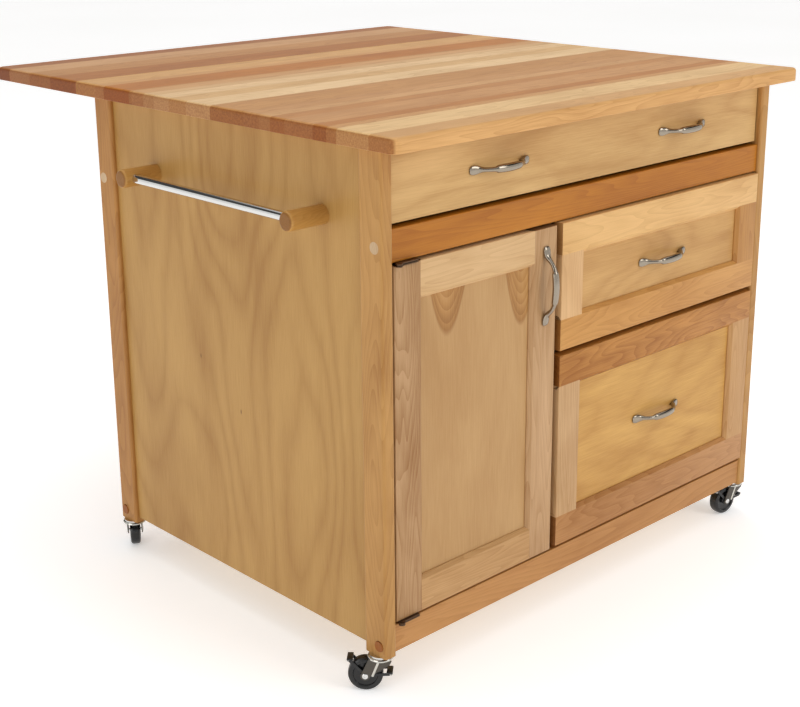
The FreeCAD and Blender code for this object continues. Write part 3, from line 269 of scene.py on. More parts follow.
@dataclass(frozen=True)
class Wood:
    """Clear-lacquered sawn board or sliced veneer of a close-grained hardwood."""

    name: str
    tone: str
    grain: Grain
    seed: float = 0.0
    figure_mm: float = 90.0
    stretch: float = 6.0
    rings: float = 24.0
    ring_share: float = 0.13
    contrast: float = 1.0
    drift_mm: float = 80.0
    roughness: float = 0.42
    coat: float = 0.08
    sliced: bool = False
    tongues: tuple[Tongue, ...] = ()
    knots: tuple[Knot, ...] = ()

    def dress(self) -> bpy.types.Material:
        """Build the node material: growth rings, fine fibres, slow drift, darker ends with painted shade, a
        thin lacquer.

        Returns:
            The material.
        """
        material, tree, shader = blank_material(self.name)
        coordinates = add_node(tree, "ShaderNodeTexCoord")
        place = coordinates.outputs["Object"]
        shift = (self.seed * 1.37, self.seed * 0.71, self.seed * 2.13)
        turn = {"Vector": place, "Rotation": self.grain.value, "Location": shift}
        along = add_node(tree, "ShaderNodeMapping", turn).outputs[0]
        fibres = self.fibres(tree, along)
        figure = self.figure(tree, along)
        field = add_node(tree, "ShaderNodeMath", {0: figure, 1: self.rings}, operation="MULTIPLY").outputs[0]
        # A knife that follows the rings blurs them into bands; a saw cuts them to thin lines.
        shape = "PINGPONG" if self.sliced else "FRACT"
        ring = add_node(tree, "ShaderNodeMath", {0: field, 1: 1.0}, operation=shape).outputs[0]
        line = add_node(tree, "ShaderNodeMath", {0: ring, 1: 1.7}, operation="POWER").outputs[0]
        drift = self.drift(tree, along)
        rest = 1.0 - self.ring_share
        shares = ((line, self.ring_share), (fibres, FIBRE_SHARE * rest), (drift, DRIFT_SHARE * rest))
        shade: Any = SHADE_START
        for source, share in shares:
            feeds = {0: source, 1: share, 2: shade}
            shade = add_node(tree, "ShaderNodeMath", feeds, operation="MULTIPLY_ADD").outputs[0]
        tone = tinted(beneath(self.tone, WOOD_SHEEN), WOOD_KEPT)
        ramp = add_node(tree, "ShaderNodeValToRGB", {"Fac": shade})
        stops(ramp, shaded(tone, self.contrast))
        colour = ramp.outputs[0]
        if self.tongues:
            colour = self.heartwood(tree, colour, shade, self.reach(tree, place, figure))
        for knot in self.knots:
            colour = self.knot(tree, colour, place, knot)
        colour = self.ends_with_shade(tree, colour, coordinates.outputs["Normal"], fibres)
        tree.links.new(colour, shader.inputs["Base Color"])
        lacquer = Lacquer(self.roughness - 0.06, self.roughness + 0.10, 0.22, self.coat, 0.2)
        lacquer.apply(tree, shader, fibres)
        return material

    @staticmethod
    def fibres(tree: bpy.types.NodeTree, along: Any) -> Any:
        """Fine fibres along the grain.

        Args:
            tree: the material's tree.
            along: coordinates whose X runs along the grain.

        Returns:
            The fibres' socket.
        """
        drawn = add_node(tree, "ShaderNodeMapping", {"Vector": along, "Scale": (1 / FIBRE_STRETCH, 1, 1)})
        feeds = {"Vector": drawn.outputs[0], "Scale": 1 / FIBRE_WIDTH, "Detail": 4.0, "Roughness": 0.65}
        return add_node(tree, "ShaderNodeTexNoise", feeds).outputs[0]

    def drift(self, tree: bpy.types.NodeTree, along: Any) -> Any:
        """Slow change of tone over the board.

        Args:
            tree: the material's tree.
            along: coordinates whose X runs along the grain.

        Returns:
            The drift's socket.
        """
        drawn = add_node(tree, "ShaderNodeMapping", {"Vector": along, "Scale": (0.28, 1, 1)})
        feeds = {
            "Vector": drawn.outputs[0],
            "Scale": 1 / (self.drift_mm * MM),
            "Detail": 3.0,
            "Distortion": 0.8,
        }
        return add_node(tree, "ShaderNodeTexNoise", feeds).outputs[0]

    def figure(self, tree: bpy.types.NodeTree, along: Any) -> Any:
        """Slow noise whose contour lines are the growth rings, so they close into arches.

        Args:
            tree: the material's tree.
            along: coordinates whose X runs along the grain.

        Returns:
            The noise's socket.
        """
        drawn = add_node(
            tree, "ShaderNodeMapping", {"Vector": along, "Scale": (1 / self.stretch, 1, 1)}
        ).outputs[0]
        feeds = {"Vector": drawn, "Scale": 1 / (self.figure_mm * MM), "Detail": 2.0, "Roughness": 0.35}
        return add_node(tree, "ShaderNodeTexNoise", feeds).outputs[0]

    def reach(self, tree: bpy.types.NodeTree, place: Any, figure: Any) -> Any:
        """Field that grows from the roots of the tongues, past 1 at their outlines.

        Args:
            tree: the material's tree.
            place: plain coordinates.
            figure: slow noise, which bends the outlines.

        Returns:
            The field's socket.
        """
        reach = None
        for tongue in self.tongues:
            width, length = tongue.half_width, tongue.length
            moved = add_node(
                tree,
                "ShaderNodeMapping",
                {
                    "Vector": place,
                    "Scale": (1 / width, 1, -1 / length),
                    "Location": (-tongue.middle / width, 0, tongue.top / length),
                },
            ).outputs[0]
            split = add_node(tree, "ShaderNodeSeparateXYZ", {0: moved})
            across, down = split.outputs[0], split.outputs[2]
            bowed = {0: across, 1: across, 2: down}
            outline = add_node(tree, "ShaderNodeMath", bowed, operation="MULTIPLY_ADD").outputs[0]
            if reach is not None:
                outline = add_node(
                    tree, "ShaderNodeMath", {0: reach, 1: outline}, operation="MINIMUM"
                ).outputs[0]
            reach = outline
        wander = {0: figure, 1: 1.1, 2: reach}
        return add_node(tree, "ShaderNodeMath", wander, operation="MULTIPLY_ADD").outputs[0]

    @staticmethod
    def heartwood(tree: bpy.types.NodeTree, colour: Any, shade: Any, reach: Any) -> Any:
        """Brown heartwood inside the tongues.

        Args:
            tree: the material's tree.
            colour: colour of the sapwood.
            shade: shade of the grain.
            reach: field from the tongues' roots to their tips.

        Returns:
            The mixed colour's socket.
        """
        rings = add_node(tree, "ShaderNodeMath", {0: reach, 1: 5.0}, operation="MULTIPLY").outputs[0]
        ring = add_node(tree, "ShaderNodeMath", {0: rings}, operation="FRACT").outputs[0]
        # Each ring of the heartwood darkens outwards to a thin line, and the outermost is darkest.
        feeds = {0: ring, 1: 0.16, 2: shade}
        ringed = add_node(tree, "ShaderNodeMath", feeds, operation="MULTIPLY_ADD").outputs[0]
        feeds = {"Value": reach, 1: 1.1, 2: 1.55, 3: -0.05, 4: 0.10}
        outer = add_node(tree, "ShaderNodeMapRange", feeds).outputs[0]
        depth = add_node(tree, "ShaderNodeMath", {0: ringed, 1: outer}, operation="ADD").outputs[0]
        ramp = add_node(tree, "ShaderNodeValToRGB", {"Fac": depth})
        stops(ramp, [(0.40, linear("BE935C")), (0.58, linear("AC7B42")), (0.76, linear("90602C"))])
        feeds = {"Value": reach, 1: 1.50, 2: 1.60, 3: 0.85, 4: 0.0}
        inside = add_node(tree, "ShaderNodeMapRange", feeds).outputs[0]
        feeds = {0: inside, 6: colour, 7: ramp.outputs[0]}
        return add_node(tree, "ShaderNodeMix", feeds, data_type="RGBA").outputs[2]

    @staticmethod
    def knot(tree: bpy.types.NodeTree, colour: Any, place: Any, knot: Knot) -> Any:
        """Mix a pin knot into the colour.

        Args:
            tree: the material's tree.
            colour: colour so far.
            place: plain coordinates.
            knot: the knot, on a face that looks along X.

        Returns:
            The mixed colour's socket.
        """
        wide, high = knot.half_width, knot.half_height
        moved = {
            "Vector": place,
            "Scale": (0, 1 / wide, 1 / high),
            "Location": (0, -knot.across / wide, -knot.height / high),
        }
        centred = add_node(tree, "ShaderNodeMapping", moved).outputs[0]
        far = add_node(tree, "ShaderNodeVectorMath", {0: centred}, operation="LENGTH").outputs["Value"]
        feeds = {"Value": far, 1: 0.5, 2: 1.3, 3: 0.75, 4: 0.0}
        core = add_node(tree, "ShaderNodeMapRange", feeds).outputs[0]
        feeds = {0: core, 6: colour, 7: linear("5E3A1C")}
        return add_node(tree, "ShaderNodeMix", feeds, data_type="RGBA").outputs[2]

    def ends_with_shade(self, tree: bpy.types.NodeTree, colour: Any, normal: Any, fibres: Any) -> Any:
        """Darken the sawn ends, partly because end grain soaks up more lacquer and partly as painted shade.

        Args:
            tree: the material's tree.
            colour: colour of the faces.
            normal: normal in the object's own axes.
            fibres: the fibres' socket.

        Returns:
            The mixed colour's socket.
        """
        turn = {"Vector": normal, "Rotation": self.grain.value}
        facing = add_node(tree, "ShaderNodeMapping", turn, vector_type="VECTOR").outputs[0]
        along = add_node(tree, "ShaderNodeSeparateXYZ", {0: facing}).outputs[0]
        size = add_node(tree, "ShaderNodeMath", {0: along}, operation="ABSOLUTE").outputs[0]
        at_end = add_node(tree, "ShaderNodeMapRange", {"Value": size, 1: 0.6, 2: 0.85}).outputs[0]
        grey = add_node(tree, "ShaderNodeMapRange", {"Value": fibres, 3: 0.62, 4: 0.42}).outputs[0]
        dark = colour
        # The darkening is partly the end grain's own colour and partly painted shade that such faces fall
        # into.
        for factor in (grey, (1.0, 0.82, 0.66)):
            feeds = {0: dark, 1: factor}
            dark = add_node(tree, "ShaderNodeVectorMath", feeds, operation="MULTIPLY").outputs[0]
        return add_node(tree, "ShaderNodeMix", {0: at_end, 6: colour, 7: dark}, data_type="RGBA").outputs[2]


@dataclass(frozen=True)
class Stave:
    """One strip of the butcher block: its width in millimetres and its sRGB colour."""

    width: float
    colour: str


@dataclass(frozen=True)
class ButcherBlock:
    """Oiled edge-glued staves of mixed sapwood and heartwood, lengthwise along X."""

    name: str
    staves: tuple[Stave, ...]
    front: float
    back: float

    def dress(self) -> bpy.types.Material:
        """Build the node material: each stave has its own colour, grain and darker sawn ends.

        Returns:
            The material.
        """
        material, tree, shader = blank_material(self.name)
        coordinates = add_node(tree, "ShaderNodeTexCoord")
        place = coordinates.outputs["Object"]
        split = add_node(tree, "ShaderNodeSeparateXYZ", {0: place})
        span = {"Value": split.outputs[1], 1: self.front, 2: self.back}
        across = add_node(tree, "ShaderNodeMapRange", span).outputs[0]
        tone = add_node(tree, "ShaderNodeValToRGB", {"Fac": across})
        number = add_node(tree, "ShaderNodeValToRGB", {"Fac": across})
        tone.color_ramp.interpolation = "CONSTANT"
        number.color_ramp.interpolation = "CONSTANT"
        total = sum(stave.width for stave in self.staves)
        tones, numbers, start = [], [], 0.0
        for index, stave in enumerate(self.staves):
            share = (index * 0.618) % 1.0
            tones.append((start / total, beneath(stave.colour, BLOCK_SHEEN)))
            numbers.append((start / total, (share, share, share, 1.0)))
            start += stave.width
        stops(tone, tones)
        stops(number, numbers)
        shift = add_node(
            tree, "ShaderNodeMath", {0: number.outputs[0], 1: 37.0}, operation="MULTIPLY"
        ).outputs[0]
        figure = self.noise(tree, place, shift, (1 / 8, 1, 1), 55.0, 2.0)
        scaled = add_node(tree, "ShaderNodeMath", {0: figure, 1: 20.0}, operation="MULTIPLY").outputs[0]
        ring = add_node(tree, "ShaderNodeMath", {0: scaled}, operation="FRACT").outputs[0]
        line = add_node(tree, "ShaderNodeMath", {0: ring, 1: 2.5}, operation="POWER").outputs[0]
        fibres = self.noise(tree, place, shift, (1 / 40, 1, 1), 1.5, 4.0)
        drift = self.noise(tree, place, shift, (0.3, 1, 1), 70.0, 2.0)
        lengthwise: Any = 0.05
        for source, share in ((line, 0.16), (fibres, 0.40), (drift, 0.44)):
            feeds = {0: source, 1: share, 2: lengthwise}
            lengthwise = add_node(tree, "ShaderNodeMath", feeds, operation="MULTIPLY_ADD").outputs[0]
        shade = add_node(tree, "ShaderNodeValToRGB", {"Fac": lengthwise})
        # A ramp holds no colour above 1, so the shades are kept low here and raised again below.
        headroom = 0.8
        stops(shade, shaded((headroom, headroom, headroom, 1.0), 0.9))
        facing = add_node(tree, "ShaderNodeSeparateXYZ", {0: coordinates.outputs["Normal"]}).outputs[0]
        sideways = add_node(tree, "ShaderNodeMath", {0: facing}, operation="ABSOLUTE").outputs[0]
        at_end = add_node(tree, "ShaderNodeMapRange", {"Value": sideways, 1: 0.55, 2: 0.8}).outputs[0]
        rough = self.noise(tree, place, shift, (1, 1, 1), 3.0, 4.0)
        sawn = add_node(tree, "ShaderNodeValToRGB", {"Fac": rough})
        stops(sawn, [(0.3, (0.52, 0.39, 0.28, 1.0)), (0.7, (0.34, 0.22, 0.15, 1.0))])
        feeds = {0: at_end, 6: shade.outputs[0], 7: sawn.outputs[0]}
        gain = add_node(tree, "ShaderNodeMix", feeds, data_type="RGBA").outputs[2]
        colour = tone.outputs[0]
        for factor in (gain, (1 / headroom,) * 3):
            feeds = {0: colour, 1: factor}
            colour = add_node(tree, "ShaderNodeVectorMath", feeds, operation="MULTIPLY").outputs[0]
        tree.links.new(colour, shader.inputs["Base Color"])
        Lacquer(0.38, 0.52, 0.2, 0.04, 0.3).apply(tree, shader, fibres)
        return material

    @staticmethod
    def noise(
        tree: bpy.types.NodeTree, place: Any, shift: Any, scale: Point, width: float, detail: float
    ) -> Any:
        """Noise drawn out along the staves.

        Args:
            tree: the material's tree.
            place: coordinates.
            shift: number that differs from stave to stave.
            scale: share of each axis.
            width: width of a streak in millimetres.
            detail: how much finer detail it carries.

        Returns:
            The noise's socket.
        """
        drawn = add_node(tree, "ShaderNodeMapping", {"Vector": place, "Scale": scale}).outputs[0]
        feeds = {"Vector": drawn, "W": shift, "Scale": 1 / (width * MM), "Detail": detail}
        return add_node(tree, "ShaderNodeTexNoise", feeds, noise_dimensions="4D").outputs[0]


@dataclass(frozen=True)
class Metal:
    """Plated or polished metal: its colour and how much its surface is broken up."""

    name: str
    colour: str
    roughness: float
    uneven_mm: float = 14.0
    spread: float = 0.06
    bump: float = 0.0

    def dress(self) -> bpy.types.Material:
        """Build the node material: bare metal whose gloss varies a little from place to place.

        Returns:
            The material.
        """
        material, tree, shader = blank_material(self.name)
        place = add_node(tree, "ShaderNodeTexCoord").outputs["Object"]
        cloud = add_node(
            tree,
            "ShaderNodeTexNoise",
            {"Vector": place, "Scale": 1 / (self.uneven_mm * MM), "Detail": 4.0},
        ).outputs[0]
        gloss = add_node(
            tree,
            "ShaderNodeMapRange",
            {"Value": cloud, 3: max(0.02, self.roughness - self.spread), 4: self.roughness + self.spread},
        )
        tree.links.new(gloss.outputs[0], shader.inputs["Roughness"])
        shader.inputs["Base Color"].default_value = linear(self.colour)
        shader.inputs["Metallic"].default_value = 1.0
        if self.bump:
            grit = add_node(
                tree, "ShaderNodeTexNoise", {"Vector": place, "Scale": 1 / (0.5 * MM), "Detail": 2.0}
            ).outputs[0]
            bump = add_node(
                tree, "ShaderNodeBump", {"Height": grit, "Strength": self.bump, "Distance": 0.1 * MM}
            )
            tree.links.new(bump.outputs[0], shader.inputs["Normal"])
        return material


@dataclass(frozen=True)
class Plastic:
    """Moulded plastic or hard rubber: its colour, its gloss and a trace of rubbed dust."""

    name: str
    colour: str
    dust: str
    roughness: float

    def dress(self) -> bpy.types.Material:
        """Build the node material: an even colour, clouded by dust and faint mould marks.

        Returns:
            The material.
        """
        material, tree, shader = blank_material(self.name)
        place = add_node(tree, "ShaderNodeTexCoord").outputs["Object"]
        cloud = add_node(
            tree, "ShaderNodeTexNoise", {"Vector": place, "Scale": 1 / (9 * MM), "Detail": 5.0}
        ).outputs[0]
        ramp = add_node(tree, "ShaderNodeValToRGB", {"Fac": cloud})
        stops(ramp, [(0.45, linear(self.colour)), (0.85, linear(self.dust))])
        tree.links.new(ramp.outputs[0], shader.inputs["Base Color"])
        gloss = add_node(
            tree, "ShaderNodeMapRange", {"Value": cloud, 3: self.roughness - 0.05, 4: self.roughness + 0.15}
        )
        tree.links.new(gloss.outputs[0], shader.inputs["Roughness"])
        return material


# Birch sapwood is close-grained and nearly white, and its lacquer has ambered it.
PALE_BIRCH = Wood("lacquered_birch_board", "D1AA72", Grain.ACROSS, seed=1.0, figure_mm=150, sliced=True)
# Rotary-cut birch veneer shows wide wandering arches, low in contrast.
SIDE_VENEER = Wood(
    "birch_veneer_side",
    "BC9359",
    Grain.UPRIGHT,
    seed=3.3,
    figure_mm=230,
    stretch=3.6,
    rings=26,
    ring_share=0.12,
    contrast=1.1,
    drift_mm=150,
    sliced=True,
    knots=(Knot(-0.038, 0.462), Knot(-0.148, 0.387)),
)
BACK_VENEER = Wood(
    "birch_veneer_back",
    "BA925F",
    Grain.UPRIGHT,
    seed=8.1,
    figure_mm=240,
    stretch=4.0,
    ring_share=0.1,
    sliced=True,
)
DRAWER_VENEER = Wood(
    "birch_veneer_drawer",
    "CDA167",
    Grain.ACROSS,
    seed=6.4,
    figure_mm=170,
    stretch=3.0,
    ring_share=0.09,
    sliced=True,
)
DEEP_VENEER = Wood(
    "birch_veneer_deep_drawer",
    "D2A35E",
    Grain.ACROSS,
    seed=4.9,
    figure_mm=190,
    stretch=2.6,
    ring_share=0.10,
    contrast=1.15,
    sliced=True,
)
# Heartwood of the same timber: redder, and with more contrast between its rings.
HEARTWOOD = Wood(
    "lacquered_heartwood_rail", "BA7933", Grain.ACROSS, seed=7.7, figure_mm=60, stretch=16, contrast=1.1
)
# Cut nearer the heart: a little redder, with close straight rings.
TOE_WOOD = Wood("lacquered_toe_rail", "C28E58", Grain.ACROSS, seed=9.5, figure_mm=80, stretch=10)
# Unfinished plywood is pale, dull and even.
PLYWOOD = Wood(
    "plain_birch_plywood", "D8C096", Grain.DEEP, seed=4.2, roughness=0.55, coat=0.0, contrast=0.7
)
# A turned dowel shows its grain drawn out along it.
TURNED = Wood("turned_birch_dowel", "C49555", Grain.ACROSS, seed=3.9, figure_mm=40, contrast=0.8)
# Plugs show side grain, pale in the upper holes and brown in the lower.
PALE_PLUG = Wood("side_grain_plug", "D0B592", Grain.UPRIGHT, seed=2.6, figure_mm=30)
DARK_PLUG = Wood("button_plug", "9A6034", Grain.UPRIGHT, seed=1.9, figure_mm=30)
# Bright chromium plate mirrors the room; the satin nickel of the pulls blurs it and is warmer, and is also
# darkened as painted shade for the dark room that the pulls mirror.
CHROME = Metal("polished_chromium_plate", "D8D8D6", 0.09, spread=0.03)
NICKEL_PAINTED_DARKER = Metal("satin_nickel_painted_darker", "968C7E", 0.16, spread=0.05, bump=0.04)
# Zinc plate is grey and faintly mottled.
ZINC = Metal("zinc_plated_steel", "B9BABA", 0.34, spread=0.1, bump=0.1)
# The door's pivots are painted dark brown, so they hide in the gap above the door.
DARK_PIVOT_STEEL = Metal("dark_brown_pivot_steel", "5E4A3A", 0.38, uneven_mm=6, spread=0.1)
# Bright nickel on the rolled rims and ribs of the forks.
BRIGHT_STEEL = Metal("nickel_plated_pressed_steel", "C8C6BE", 0.16, uneven_mm=9, spread=0.08)
# The cheeks of the forks get a dark copy of the same steel: painted shade for the dark room that they mirror.
CHEEK_STEEL_PAINTED_DARK = Metal("pressed_steel_painted_dark", "57534D", 0.34, uneven_mm=7, spread=0.1, bump=0.1)
# The wheels are glossy black polypropylene, nearly mirror-like where they are clean.
WHEEL_BLACK = Plastic("gloss_black_polypropylene", "070708", "1A1A1A", 0.18)
# Each tab of a brake lever has a black cap over a pale end.
LEVER_BLACK = Plastic("black_lever_cap", "101012", "2A2A28", 0.3)
LEVER_PALE = Plastic("grey_lever_end", "C9C7C2", "A9A6A0", 0.4)

# From the worktop's front edge to the far edge of the leaf.
STAVES = (
    Stave(52, "D5A671"),
    Stave(68, "E5BF8A"),
    Stave(24, "CF9D69"),
    Stave(31, "BD8350"),
    Stave(66, "CB9867"),
    Stave(34, "C48D5A"),
    Stave(26, "CFA06F"),
    Stave(41, "C79565"),
    Stave(88, "C5925F"),
    Stave(67, "E5C293"),
    Stave(48, "DBB27E"),
    Stave(44, "E2BE8F"),
    Stave(29, "D8B080"),
    Stave(36, "CF9F6E"),
    Stave(11, "C69461"),
    Stave(76, "BD7E47"),
    Stave(30, "D09E6B"),
    Stave(62, "D6A770"),
    Stave(92, "B27849"),
    Stave(71, "C18E5E"),
    Stave(79, "CC9E72"),
    Stave(53, "AA724A"),
)


# ------------------------------------------------------------------ mesh helpers
def block(low: Sequence[float], high: Sequence[float]) -> bmesh.types.BMesh:
    """Make a box.

    Args:
        low: lowest corner.
        high: highest corner.

    Returns:
        The box's bmesh.
    """
    bm = bmesh.new()
    low, high = Vector(low), Vector(high)
    size = Matrix.Diagonal((*(high - low), 1.0))
    bmesh.ops.create_cube(bm, size=1.0, matrix=Matrix.Translation((low + high) / 2) @ size)
    return bm


def bevel(bm: bmesh.types.BMesh, edges: Iterable[Any], width: float, segments: int = 3) -> None:
    """Bevel some edges.

    Args:
        bm: the mesh.
        edges: the edges.
        width: width of the bevel.
        segments: steps across it; 1 is a flat chamfer.
    """
    bmesh.ops.bevel(
        bm,
        geom=list(edges),
        offset=width,
        offset_type="OFFSET",
        affect="EDGES",
        segments=segments,
        profile=0.5,
        material=-1,
        clamp_overlap=True,
    )


def on_plane(edge: bmesh.types.BMEdge, axis: int, place: float) -> bool:
    """Tell whether both ends of an edge lie on the plane square to an axis at a place."""
    return all(abs(vert.co[axis] - place) < TINY for vert in edge.verts)


def turned(profile: Sequence[tuple[float, float]], steps: int = 48) -> bmesh.types.BMesh:
    """Spin an outline round Z.

    Args:
        profile: radius and height of each point of the outline.
        steps: facets round the turn.

    Returns:
        The turned shape.
    """
    bm = bmesh.new()
    line = [bm.verts.new((radius, 0.0, height)) for radius, height in profile]
    edges = [bm.edges.new(pair) for pair in zip(line, line[1:])]
    bmesh.ops.spin(
        bm,
        geom=line + edges,
        cent=(0, 0, 0),
        axis=(0, 0, 1),
        angle=FULL_TURN,
        steps=steps,
        use_merge=True,
        use_duplicate=False,
    )
    bmesh.ops.remove_doubles(bm, verts=bm.verts, dist=WELD)
    return bm


def plate(outline: Sequence[tuple[float, float]], start: float, thick: float) -> bmesh.types.BMesh:
    """Extrude an outline in the XZ plane along Y.

    Args:
        outline: X and Z of each corner, in order.
        start: Y of the near face.
        thick: thickness along Y.

    Returns:
        The plate.
    """
    bm = bmesh.new()
    face = bm.faces.new([bm.verts.new((x, start, z)) for x, z in outline])
    made = bmesh.ops.extrude_face_region(bm, geom=[face])
    moved = [item for item in made["geom"] if isinstance(item, bmesh.types.BMVert)]
    bmesh.ops.translate(bm, verts=moved, vec=(0, thick, 0))
    return bm


def merged(parts: Iterable[bmesh.types.BMesh]) -> bmesh.types.BMesh:
    """Put several shapes into one bmesh and free them.

    Args:
        parts: the shapes.

    Returns:
        One bmesh that holds them all.
    """
    whole = bmesh.new()
    for part in parts:
        spare = bpy.data.meshes.new("spare")
        part.to_mesh(spare)
        part.free()
        whole.from_mesh(spare)
        bpy.data.meshes.remove(spare)
    return whole


@dataclass
class Dresser:
    """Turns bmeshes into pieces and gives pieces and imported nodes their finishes."""

    frame: dict[str, Any]
    made: dict[Any, bpy.types.Material] = field(default_factory=dict)

    def material(self, finish: Any) -> bpy.types.Material:
        """Find the material of a finish, which is made once.

        Args:
            finish: any finish of this file.

        Returns:
            Its material.
        """
        if finish not in self.made:
            self.made[finish] = finish.dress()
        return self.made[finish]

    def paint(self, node: str, finish: Any) -> None:
        """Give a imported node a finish.

        Args:
            node: name of the node.
            finish: what it is made of.
        """
        mesh = self.frame["nodes"][node].data
        mesh.materials.clear()
        mesh.materials.append(self.material(finish))
        LOG.info("dressed %s as %s", node, finish.name)

    def piece(
        self,
        name: str,
        bm: bmesh.types.BMesh,
        body: str,
        finish: Any,
        replaces: Sequence[str] = (),
        smooth_deg: float = 35.0,
        subdivisions: int = 0,
        slot: str | None = None,
    ) -> bpy.types.Object:
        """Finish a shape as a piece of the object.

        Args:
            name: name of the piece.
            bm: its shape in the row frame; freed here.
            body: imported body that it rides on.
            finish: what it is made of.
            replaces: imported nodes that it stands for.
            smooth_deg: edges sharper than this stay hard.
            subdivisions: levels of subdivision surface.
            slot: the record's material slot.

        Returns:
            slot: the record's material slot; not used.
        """
        bmesh.ops.recalc_face_normals(bm, faces=bm.faces)
        mesh = bpy.data.meshes.new(name)
        bm.to_mesh(mesh)
        bm.free()
        mesh.shade_smooth()
        mesh.set_sharp_from_angle(angle=math.radians(smooth_deg))
        mesh.materials.append(self.material(finish))
        item = bpy.data.objects.new(name, mesh)
        bpy.context.scene.collection.objects.link(item)
        if subdivisions:
            modifier = item.modifiers.new("rounding", "SUBSURF")
            modifier.levels = subdivisions
            modifier.render_levels = subdivisions
        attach(item, body)
        if replaces:
            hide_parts(*replaces)
        LOG.info("built %s on %s", name, body)
        return item


# ------------------------------------------------------------------ worktop and cabinet
@dataclass
class Cabinet:
    """Worktop, leaf, posts, panels and rails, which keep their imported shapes."""

    dresser: Dresser

    def dress(self) -> None:
        """Give every packed wooden node of the cabinet its finish."""
        front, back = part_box("butcher_block_top")[0].y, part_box("drop_leaf")[1].y
        block_finish = ButcherBlock("oiled_butcher_block", STAVES, front, back)
        for node in ("butcher_block_top", "drop_leaf"):
            self.dresser.paint(node, block_finish)
        tones = {
            "front_left": "BE9057",
            "front_right": "BE9057",
            "back_left": "B5834C",
            "back_right": "B98A52",
        }
        for index, (node, tone) in enumerate(tones.items()):
            post = Wood("birch_post_" + node, tone, Grain.UPRIGHT, seed=2 + 3.1 * index, contrast=1.1)
            self.dresser.paint("post_" + node, post)
        finishes = {
            "side_panels": SIDE_VENEER,
            "back_panel": BACK_VENEER,
            "front_rail": HEARTWOOD,
            "toe_rail": TOE_WOOD,
            "back_rails": TOE_WOOD,
            "top_drawer_front": PALE_BIRCH,
            "bottom_panel": PLYWOOD,
            "centre_divider": PLYWOOD,
            "adjustable_shelf": PLYWOOD,
            "top_cleats": PLYWOOD,
            "top_drawer_box": PLYWOOD,
            "middle_drawer_box": PLYWOOD,
            "deep_drawer_box": PLYWOOD,
            "screw_plugs": PALE_PLUG,
            "button_plugs": DARK_PLUG,
            "towel_bar_dowels": TURNED,
            "towel_bar_tube": CHROME,
            "caster_stems": CHROME,
            "door_pivot_plates": DARK_PIVOT_STEEL,
            "door_pivot_arms": DARK_PIVOT_STEEL,
        }
        steel = (
            "wood_screws shelf_pins slide_channels top_drawer_runners middle_drawer_runners "
            "deep_drawer_runners leaf_hinge_fixed leaf_hinge_moving stay_wall_brackets "
            "stay_leaf_brackets stay_lower_links stay_upper_links door_catch door_strike"
        )
        for node, finish in finishes.items():
            self.dresser.paint(node, finish)
        for node in steel.split():
            self.dresser.paint(node, ZINC)


# ------------------------------------------------------------------ frame-and-panel fronts
class Through(Enum):
    """Which members of a front run its full size."""

    STILES = "stiles"
    RAILS = "rails"


@dataclass
class FramedFront:
    """Door or drawer front: two stiles, two rails and a flat panel."""

    dresser: Dresser
    name: str
    body: str
    through: Through
    panel: Wood
    members: dict[str, Wood]
    flat_width: float = 55 * MM
    chamfer: float = 6 * MM
    easing: float = 1.5 * MM

    def build(self) -> None:
        """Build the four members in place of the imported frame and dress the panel."""
        low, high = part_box(self.name + "_frame")
        self.dresser.paint(self.name + "_panel", self.panel)
        wide = self.flat_width + self.chamfer
        end = self.flat_width
        stiles_run = self.through is Through.STILES
        side = 0.0 if stiles_run else end
        level = end if stiles_run else 0.0
        self.member("stile_left", low, (low.x + wide, high.y, high.z), ("x", 1), side)
        self.member("stile_right", (high.x - wide, low.y, low.z), high, ("x", -1), side)
        self.member("rail_bottom", low, (high.x, high.y, low.z + wide), ("z", 1), level)
        self.member("rail_top", (low.x, low.y, high.z - wide), high, ("z", -1), level)

    def member(
        self, part: str, low: Sequence[float], high: Sequence[float], inner: tuple[str, int], inset: float
    ) -> None:
        """Build one stile or rail.

        Args:
            part: name of the member.
            low: its lowest corner before it is shortened.
            high: its highest corner before it is shortened.
            inner: axis and sign that point at the panel.
            inset: how far each end stops short, where it meets a through member.
        """
        low, high = Vector(low), Vector(high)
        along = 2 if inner[0] == "x" else 0
        low[along] += inset
        high[along] -= inset
        bm = block(low, high)
        across = 0 if inner[0] == "x" else 2
        inner_side = high[across] if inner[1] > 0 else low[across]
        outer_side = low[across] if inner[1] > 0 else high[across]
        front_edges = [e for e in bm.edges if on_plane(e, 1, low.y)]
        chamfered = [e for e in front_edges if on_plane(e, across, inner_side)]
        eased = [e for e in front_edges if on_plane(e, across, outer_side)]
        bevel(bm, chamfered, self.chamfer, segments=1)
        eased = [e for e in eased if e.is_valid]
        if inset == 0.0:
            face = [e for e in bm.edges if on_plane(e, 1, low.y)]
            eased += [e for e in face if on_plane(e, along, low[along]) or on_plane(e, along, high[along])]
        bevel(bm, eased, self.easing)
        finish = self.members[part]
        self.dresser.piece(f"{self.name}_{part}", bm, self.body, finish, [self.name + "_frame"])


# ------------------------------------------------------------------ pulls
@dataclass(frozen=True)
class Station:
    """Cross-section of a pull: place along it, height off the face, and its two half sizes, in mm."""

    along: float
    rise: float
    half_width: float
    half_thick: float


# From the tip of a spade foot, up its neck and over the shoulder to the middle of the grip.
PULL_STATIONS = (
    Station(68.5, 1.2, 4.2, 0.9),
    Station(67.0, 1.9, 6.6, 1.8),
    Station(61.5, 2.7, 8.2, 2.7),
    Station(54.0, 3.4, 7.6, 3.4),
    Station(49.0, 5.2, 5.6, 4.4),
    Station(45.5, 9.0, 4.2, 4.1),
    Station(40.5, 14.4, 3.8, 3.6),
    Station(34.0, 18.6, 3.8, 3.5),
    Station(28.5, 20.4, 4.4, 3.9),
    Station(26.5, 21.0, 6.1, 4.8),
    Station(24.0, 21.6, 6.7, 5.1),
    Station(12.0, 23.3, 7.2, 5.3),
    Station(0.0, 23.9, 7.3, 5.4),
)


